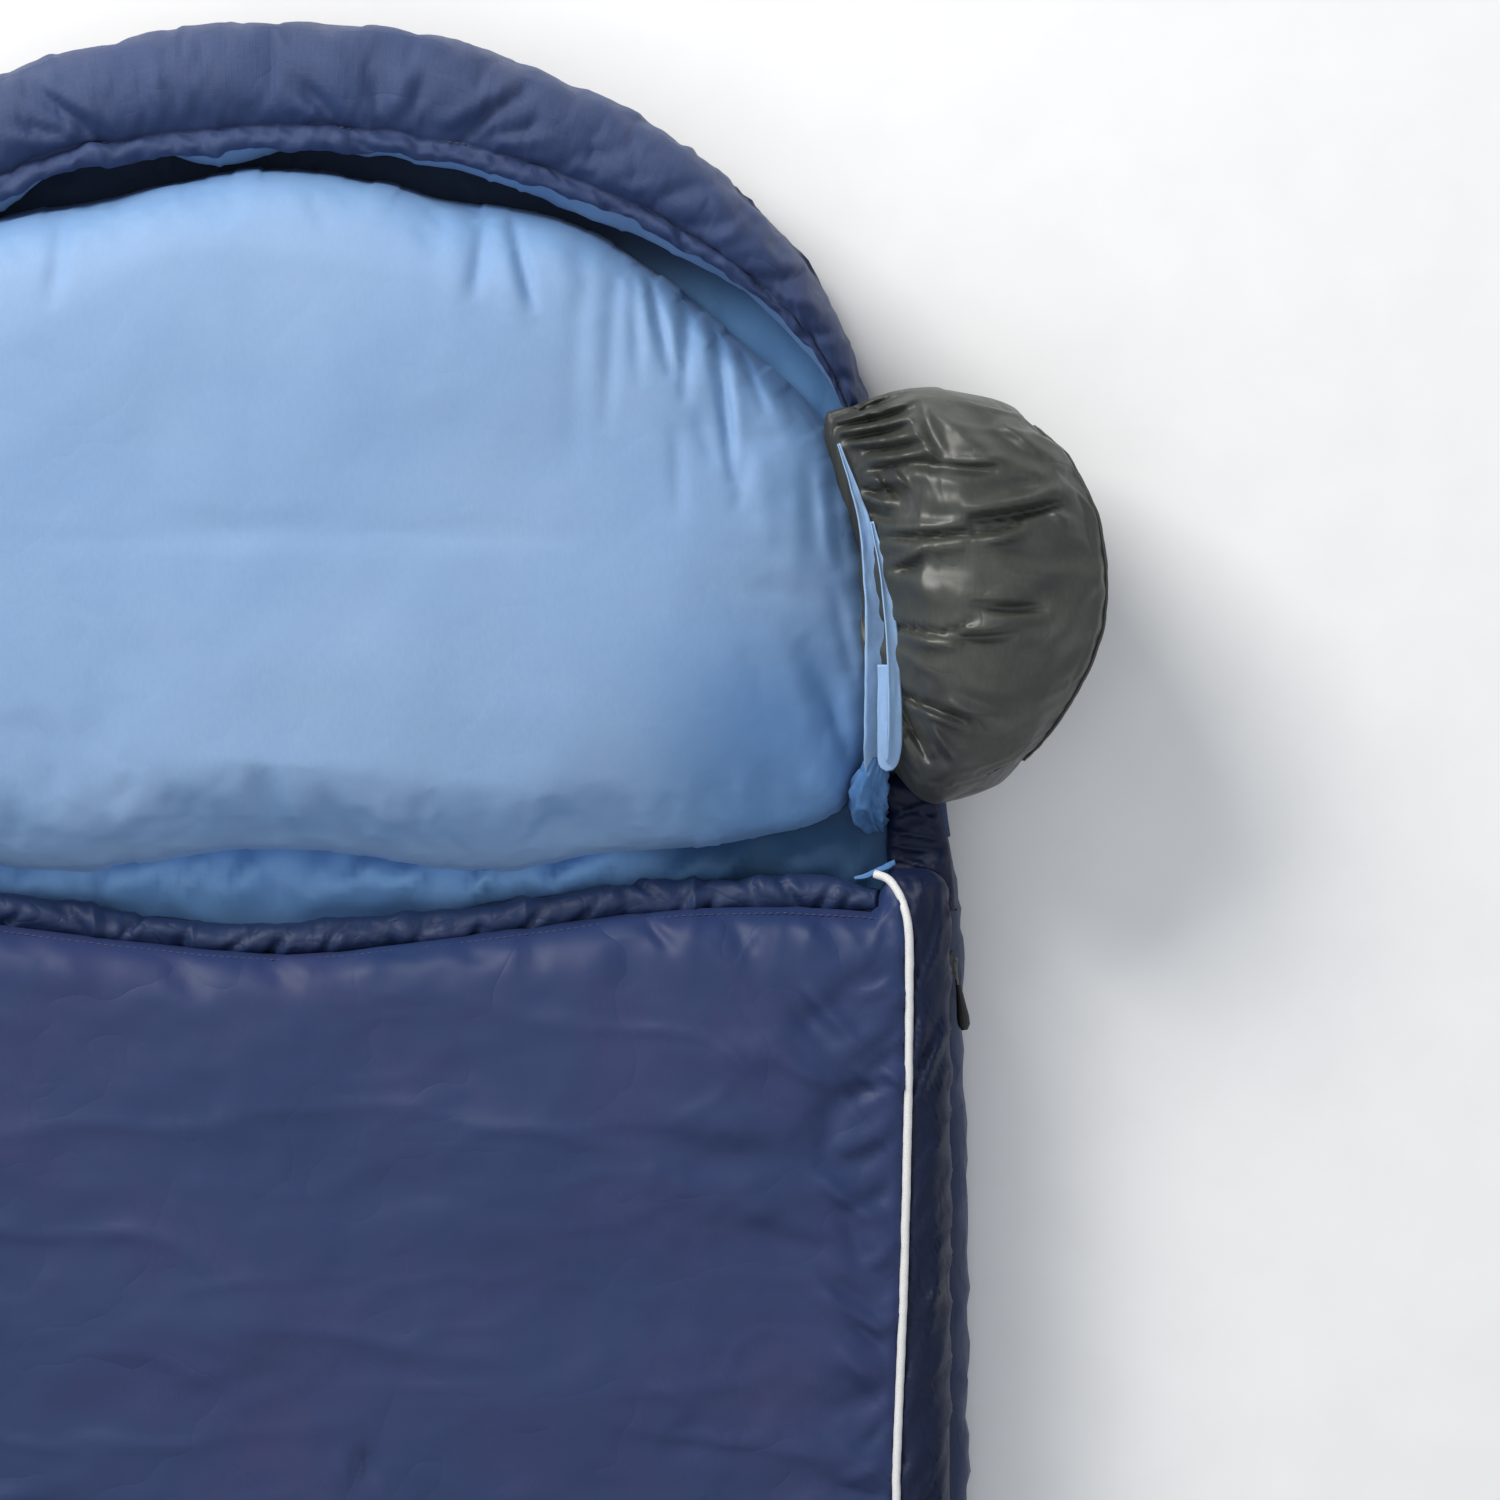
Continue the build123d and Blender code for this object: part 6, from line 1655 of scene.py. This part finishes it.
def build_neck_folds():
    """Shell cloth turned over the lining at both ends of the neck."""
    out = []
    for sgn, name in ((1, "neck_fold_right"), (-1, "neck_fold_left")):
        ys = np.linspace(588, 668, 60)
        t = np.linspace(0, 1, 34)
        Y = np.repeat(ys[:, None], len(t), 1)
        x0 = np.interp(ys, [588, 610, 622, 640, 655, 668], [356, 353.5, 352, 352.5, 347, 344])
        x1 = out_w(ys) - 1.2
        X = x0[:, None] + (x1 - x0)[:, None] * t[None, :]
        d = np.minimum(np.minimum(X - x0[:, None], x1[:, None] - X), np.minimum(Y - 588, 668 - Y))
        fold = 4.2 * ridge((Y - 0.45 * X) / 17.0, X / 60.0, 201 + sgn, 1.4) + 2.6 * ridge((Y + 0.2 * X) / 9.0, X / 40.0, 203 + sgn, 1.4)
        ZT = 52.0 + (10.0 + fold - 1.8) * bulge(d, 11, 2.0)
        ZB = np.full_like(ZT, 50.0)
        ZT[0, :] = ZT[-1, :] = 51.0
        ZT[:, 0] = ZT[:, -1] = 51.0
        if sgn < 0:
            X = -X[:, ::-1]
            ZT, ZB, Y = ZT[:, ::-1], ZB[:, ::-1], Y[:, ::-1]
        # their dark navy is painted shade
        o, _, _ = sheet_pad(name, X, Y, ZT, ZB, [M["side"]])
        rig.slot(o, "navy_ripstop")
        out.append(o)
    return out


# ------------------------------------------------------------------ zip
def zip_path(u, n=1200):
    r = 56 + u
    pts = [(386 + u, y) for y in np.linspace(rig.box("zip_coil_lower")[1].y * 1000, Y_FOOT + 70, 500)]
    pts += [(330 + r * math.cos(a), Y_FOOT + 70 - r * math.sin(a)) for a in np.linspace(0, math.pi / 2, 40)[1:]]
    pts += [(x, Y_FOOT + 14 - u) for x in np.linspace(330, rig.box("zip_coil_lower")[0].x * 1000, 260)[1:]]
    P = np.array(pts)
    run = np.r_[0, np.cumsum(np.hypot(*np.diff(P, axis=0).T))]
    return P, run


def build_zip():
    P, run = zip_path(1.6)
    T = np.gradient(P, axis=0)
    T /= np.maximum(np.linalg.norm(T, axis=1, keepdims=True), 1e-9)
    pitch = 2.0
    for name, sign, body in (("lower", -1, "base"), ("upper", 1, "cover")):
        items = []
        V, F, C = [], [], []
        s = 1.0 + (0 if sign > 0 else pitch / 2)
        while s < run[-1] - 1:
            cx, cy = np.interp(s, run, P[:, 0]), np.interp(s, run, P[:, 1])
            tx, ty = np.interp(s, run, T[:, 0]), np.interp(s, run, T[:, 1])
            L = math.hypot(tx, ty)
            tx, ty = tx / L, ty / L
            nx, ny = -ty, tx      # outwards
            if (cx * nx + cy * ny) < 0:
                nx, ny = -nx, -ny
            base = len(V)
            for w, hu, hv in ((0.62, 0.75, 0.42), (1.0, 1.15, 0.52), (2.3, 1.2, 0.40), (3.35, 0.9, 0.30)):
                for du, dv in ((-1, -1), (1, -1), (1, 1), (-1, 1)):
                    V.append((cx + nx * du * hu + tx * dv * hv, cy + ny * du * hu + ty * dv * hv, Z_HINGE + sign * w))
                    C.append((s + dv * hv, du * hu, w))
            F += [tuple(base + q for q in f) for f in grid_faces(4, 4, close_v=True, flip=sign < 0)]
            cap = [(0, 3, 2, 1), (12, 13, 14, 15)]
            F += [tuple(base + q for q in (f if sign > 0 else f[::-1])) for f in cap]
            s += pitch
        o = make_mesh(f"zip_teeth_{name}", V, F, [M["coil"]], C)
        o.data.polygons.foreach_set("use_smooth", [False] * len(o.data.polygons))
        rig.replaces(o, f"zip_coil_{name}")
        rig.slot(o, "zip_coil")
        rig.ride(o, body)
        # woven tape
        A, ra = zip_path(-0.30)
        B, rb = zip_path(0.30)
        k = np.linspace(0, len(A) - 1, 420).astype(int)
        A, B, rr = A[k], B[k], ra[k]
        zs = sorted((Z_HINGE + sign * 1.3, Z_HINGE + sign * 6.6))
        rows = np.linspace(zs[0], zs[1], 5)
        rings = []
        for q in range(len(A)):
            rings.append([(*A[q], z) for z in rows] + [(*B[q], z) for z in rows[::-1]])
        V = np.array(rings).reshape(-1, 3)
        C = np.array([[(rr[q], z, 0) for z in list(rows) + list(rows[::-1])] for q in range(len(A))]).reshape(-1, 3)
        F = grid_faces(len(A), 10, close_v=True)
        F += [tuple(range(9, -1, -1)), tuple((len(A) - 1) * 10 + j for j in range(10))]
        t = make_mesh(f"zip_tape_{name}_woven", V, F, [M["tape_navy"]], C)
        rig.replaces(t, f"zip_tape_{name}")
        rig.slot(t, "navy_dark")
        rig.ride(t, body)


def build_draft_tube():
    n = 520
    r = 70 - 38
    pts = [(HALF - 38, y) for y in np.linspace(560, Y_FOOT + 70, 300)]
    pts += [(HALF - 70 + r * math.cos(a), Y_FOOT + 70 - r * math.sin(a)) for a in np.linspace(0, math.pi / 2, 24)[1:]]
    pts += [(x, Y_FOOT + 38) for x in np.linspace(330, -330, 150)[1:]]
    P = spline(pts[::3] + [pts[-1]], n)
    run = np.r_[0, np.cumsum(np.linalg.norm(np.diff(P, axis=0), axis=1))]
    path = np.c_[P, np.full(n, 55.6)]
    g = ridge(run / 19.0, 0 * run, 191, 1.2)
    V, C, seg = [], [], 14
    T = np.gradient(P, axis=0)
    T /= np.linalg.norm(T, axis=1, keepdims=True)
    for i in range(n):
        s = np.array([T[i, 1], -T[i, 0]])
        for j in range(seg):
            a = 2 * math.pi * j / seg
            k = 1 + 0.10 * (g[i] - 0.4)
            w = 16.5 * math.cos(a) * k
            h = 3.1 * math.sin(a) * (1 + 0.25 * (g[i] - 0.4))
            V.append((P[i, 0] + s[0] * w, P[i, 1] + s[1] * w, 55.6 + h))
            C.append((run[i], a * 10, 0))
    F = grid_faces(n, seg, close_v=True)
    F += [tuple(range(seg - 1, -1, -1)), tuple((n - 1) * seg + j for j in range(seg))]
    o = make_mesh("draft_tube_soft", V, F, [M["blue2"]], C)
    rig.replaces(o, "draft_tube")
    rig.slot(o, "light_blue")
    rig.ride(o, "cover")


def build_seam_bindings():
    for name, body, z0, z1 in (("lower", "base", 47.0, 54.7), ("upper", "cover", 55.3, 63.0)):
        ys = np.linspace(559, -1029, 360)
        n, seg = len(ys), 14
        V, C = [], []
        g = ridge(ys / 11.0, 0 * ys, 195 if name == "lower" else 196, 1.1)
        zc, hz = (z0 + z1) / 2, (z1 - z0) / 2
        for i, y in enumerate(ys):
            for j in range(seg):
                a = 2 * math.pi * j / seg
                k = 1 + 0.14 * (g[i] - 0.4)
                V.append((-398.3 + 1.25 * k * math.cos(a), y, zc + hz * math.copysign(abs(math.sin(a)) ** 0.8, math.sin(a))))
                C.append((y, a * 3.0, 0))
        F = grid_faces(n, seg, close_v=True, flip=True)
        F += [tuple(range(seg)), tuple((n - 1) * seg + j for j in range(seg - 1, -1, -1))]
        o = make_mesh(f"seam_binding_{name}_soft", V, F, [M["binding"]], C)
        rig.replaces(o, f"seam_binding_{name}")
        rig.slot(o, "navy_dark")
        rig.ride(o, body)


# ------------------------------------------------------------------ cords
def build_cords(top_z):
    c0, c1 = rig.box("collar_lock_body")
    cx, cz = (c0.x + c1.x) * 500 + 1.5, (c0.z + c1.z) * 500
    cyl = (c0.y + c1.y) * 500
    zt = lambda a, b: float(top_z(a, b)[0]) + 1.9
    pts = [(cx + 3, 577, 92.0), (cx + 1.5, 570, 105.0), (cx, 560, cz - 0.6), (cx, 552, cz), (cx, cyl + 20, cz), (cx, cyl, cz), (cx, cyl - 20, cz), (cx, 450, cz),
           (cx - 1, 440, cz - 1.5), (cx - 4, 428, zt(cx - 4, 428)), (cx - 3, 415, zt(cx - 3, 415)), (cx + 3, 405, zt(cx + 3, 405))]
    P = spline(pts, 220)
    o = tube_mesh("collar_cord", P, 1.5, [M["cord"]], seg=10, rad_fn=lambda s, a: 1 + 0.04 * math.sin(s / 0.8 + 2 * a))
    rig.replaces(o, "collar_drawcord")
    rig.slot(o, "cord")
    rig.ride(o, "cover")
    k = knot_mesh("collar_cord_knot", P[-1] + np.array([0, -1.0, 0.6]), 3.2)
    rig.ride(k, "cover")
    h0, h1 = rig.box("hood_lock_body")
    hx, hz, hy = (h0.x + h1.x) * 500 + 1.5, (h0.z + h1.z) * 500, (h0.y + h1.y) * 500
    pts = [(-352, 806, 61.0), (-358, 796, 64.0), (hx + 0.5, 784, hz - 0.8), (hx, 774, hz), (hx, hy + 20, hz), (hx, hy, hz), (hx, hy - 20, hz), (hx, 666, hz), (hx + 0.5, 657, hz - 1.0), (hx + 3, 648, 63.5), (hx + 9, 641, 62.0)]
    P = spline(pts, 220)
    o = tube_mesh("hood_cord", P, 1.5, [M["cord"]], seg=10, rad_fn=lambda s, a: 1 + 0.04 * math.sin(s / 0.8 + 2 * a))
    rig.replaces(o, "hood_drawcord")
    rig.slot(o, "cord")
    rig.ride(o, "hood")
    k = knot_mesh("hood_cord_knot", P[-1], 3.2)
    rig.ride(k, "hood")


def knot_mesh(name, centre, r):
    t = np.linspace(0, 2 * math.pi, 90)
    k = 0.42 * r
    P = np.stack([(np.sin(t) + 2 * np.sin(2 * t)) * k, (np.cos(t) - 2 * np.cos(2 * t)) * k, -np.sin(3 * t) * k], 1) * 0.62 + np.asarray(centre)
    o = tube_mesh(name, P, 1.45, [M["cord"]], seg=8)
    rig.slot(o, "cord")
    return o


def build_springs():
    """Lock springs that shorten as their buttons are pressed."""
    for side in ("collar", "hood"):
        node = f"{side}_lock_spring"
        b0, b1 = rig.box(node)
        o = link(bpy.data.objects.new(f"{side}_spring_coil", N[node].data.copy()))
        o.matrix_world = N[node].matrix_world.copy()
        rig.replaces(o, node)
        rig.slot(o, "spring_steel")
        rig.ride(o, f"{side}_lock")
        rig.squash(o, f"{side}_button_press", axis=(1, 0, 0), anchor=(b0.x, (b0.y + b1.y) / 2, (b0.z + b1.z) / 2), keep=0.5)


def build_stitches(top_z):
    xs = np.linspace(-345, 348, 400)
    P = np.c_[xs, head_edge(xs) - 18.5, np.zeros(len(xs))]
    P[:, 2] = np.convolve(np.pad(top_z(P[:, 0], P[:, 1]), 3, "edge"), np.ones(7) / 7, "valid") + 0.8
    P[:, 2] = np.maximum(P[:, 2], 78)
    st = joined("collar_stitching", stitch_items(P, np.tile([0, 0.3, 0.95], (len(P), 1)), length=2.6, gap=1.6, width=0.45, height=0.4), [M["thread"]])
    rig.slot(st, "navy_satin")
    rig.ride(st, "cover")


# ------------------------------------------------------------------ stage
def build_stage():
    me = bpy.data.meshes.new("floor")
    s = 14.0
    me.from_pydata([(-s, -s, 0), (s, -s, 0), (s, s, 0), (-s, s, 0)], [], [(0, 1, 2, 3)])
    floor = link(bpy.data.objects.new("floor", me))
    g = Graph("floor_paper")
    n = g.noise(g.local(), 0.02, 3.0)
    g.set(color=g.ramp(n, [(0.3, (0.90, 0.90, 0.90)), (0.7, (0.93, 0.93, 0.93))]), rough=0.9, spec=0.1)
    me.materials.append(g.m)
    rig.stage(floor)
    w = bpy.data.worlds.new("studio")
    scene.world = w
    w.use_nodes = True
    bg = w.node_tree.nodes["Background"]
    bg.inputs[0].default_value = (0.91, 0.96, 1.03, 1)
    bg.inputs[1].default_value = 0.46

    def area(name, loc, aim, size, power, color=(1, 1, 1)):
        d = bpy.data.lights.new(name, "AREA")
        d.shape = "RECTANGLE"
        d.size, d.size_y = size
        d.energy = power
        d.color = color
        o = link(bpy.data.objects.new(name, d))
        o.location = loc
        from mathutils import Vector
        o.rotation_euler = (Vector(aim) - Vector(loc)).to_track_quat("-Z", "Y").to_euler()
        return o

    area("key", (-1.35, 2.75, 1.75), (0.10, 0.50, 0.05), (1.7, 1.1), 92.0, (1.0, 0.975, 0.93))
    area("fill", (1.9, -0.6, 2.8), (0.1, 0.1, 0.05), (2.6, 2.6), 7.0, (0.93, 0.96, 1.0))
    area("over", (-0.2, -0.6, 4.2), (0.0, -0.2, 0.0), (3.4, 3.4), 24.0)

    cam = bpy.data.cameras.new("camera")
    co = link(bpy.data.objects.new("camera", cam))
    height, zref, wide = 7.0, 0.10, 0.8634
    co.location = (0.2734, 0.6810, height)
    co.rotation_euler = (0, 0, 0)
    cam.sensor_width = 36.0
    cam.lens = 36.0 * (height - zref) / wide
    cam.clip_end = 60.0
    scene.camera = co
    scene.view_settings.view_transform = "Standard"
    scene.view_settings.look = "None"
    scene.view_settings.exposure = 0.0


# ------------------------------------------------------------------ build
import time
_t = time.time()


def tick(label):
    global _t
    print(f"[{label}] {time.time() - _t:.1f} s")
    _t = time.time()


base = build_base_shell()
tick("base shell")
lining = build_base_lining()
tick("lining")
cover, top_z = build_cover()
tick("cover")
build_cover_lining()
build_collar()
tick("collar")
build_piping(top_z)
tick("piping")
build_rim()
tick("rim")
build_pillow()
tick("pillow")
build_sack()
tick("sack")
build_hem_strip()
build_corner_lining()
folds = build_neck_folds()
build_zip()
tick("zip")
build_draft_tube()
build_seam_bindings()
build_cords(top_z)
build_stitches(top_z)
build_springs()
tick("small")
for o in [base, lining] + folds:
    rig.blend(o, "base", "hood", start=(0, 0.600, 0.055), end=(0, 0.645, 0.055))
for o in list(scene.objects):
    if o.type == "MESH" and o.name not in N and o.data.attributes.get("cloth"):
        outward(o)
tick("faces")
build_stage()

NEW_BOX = [list(map(float, p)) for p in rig.bounds()]
try:
    with open("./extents.json", "w") as f:
        json.dump({"cad": CAD_BOX, "visual": NEW_BOX}, f)
except OSError:
    pass
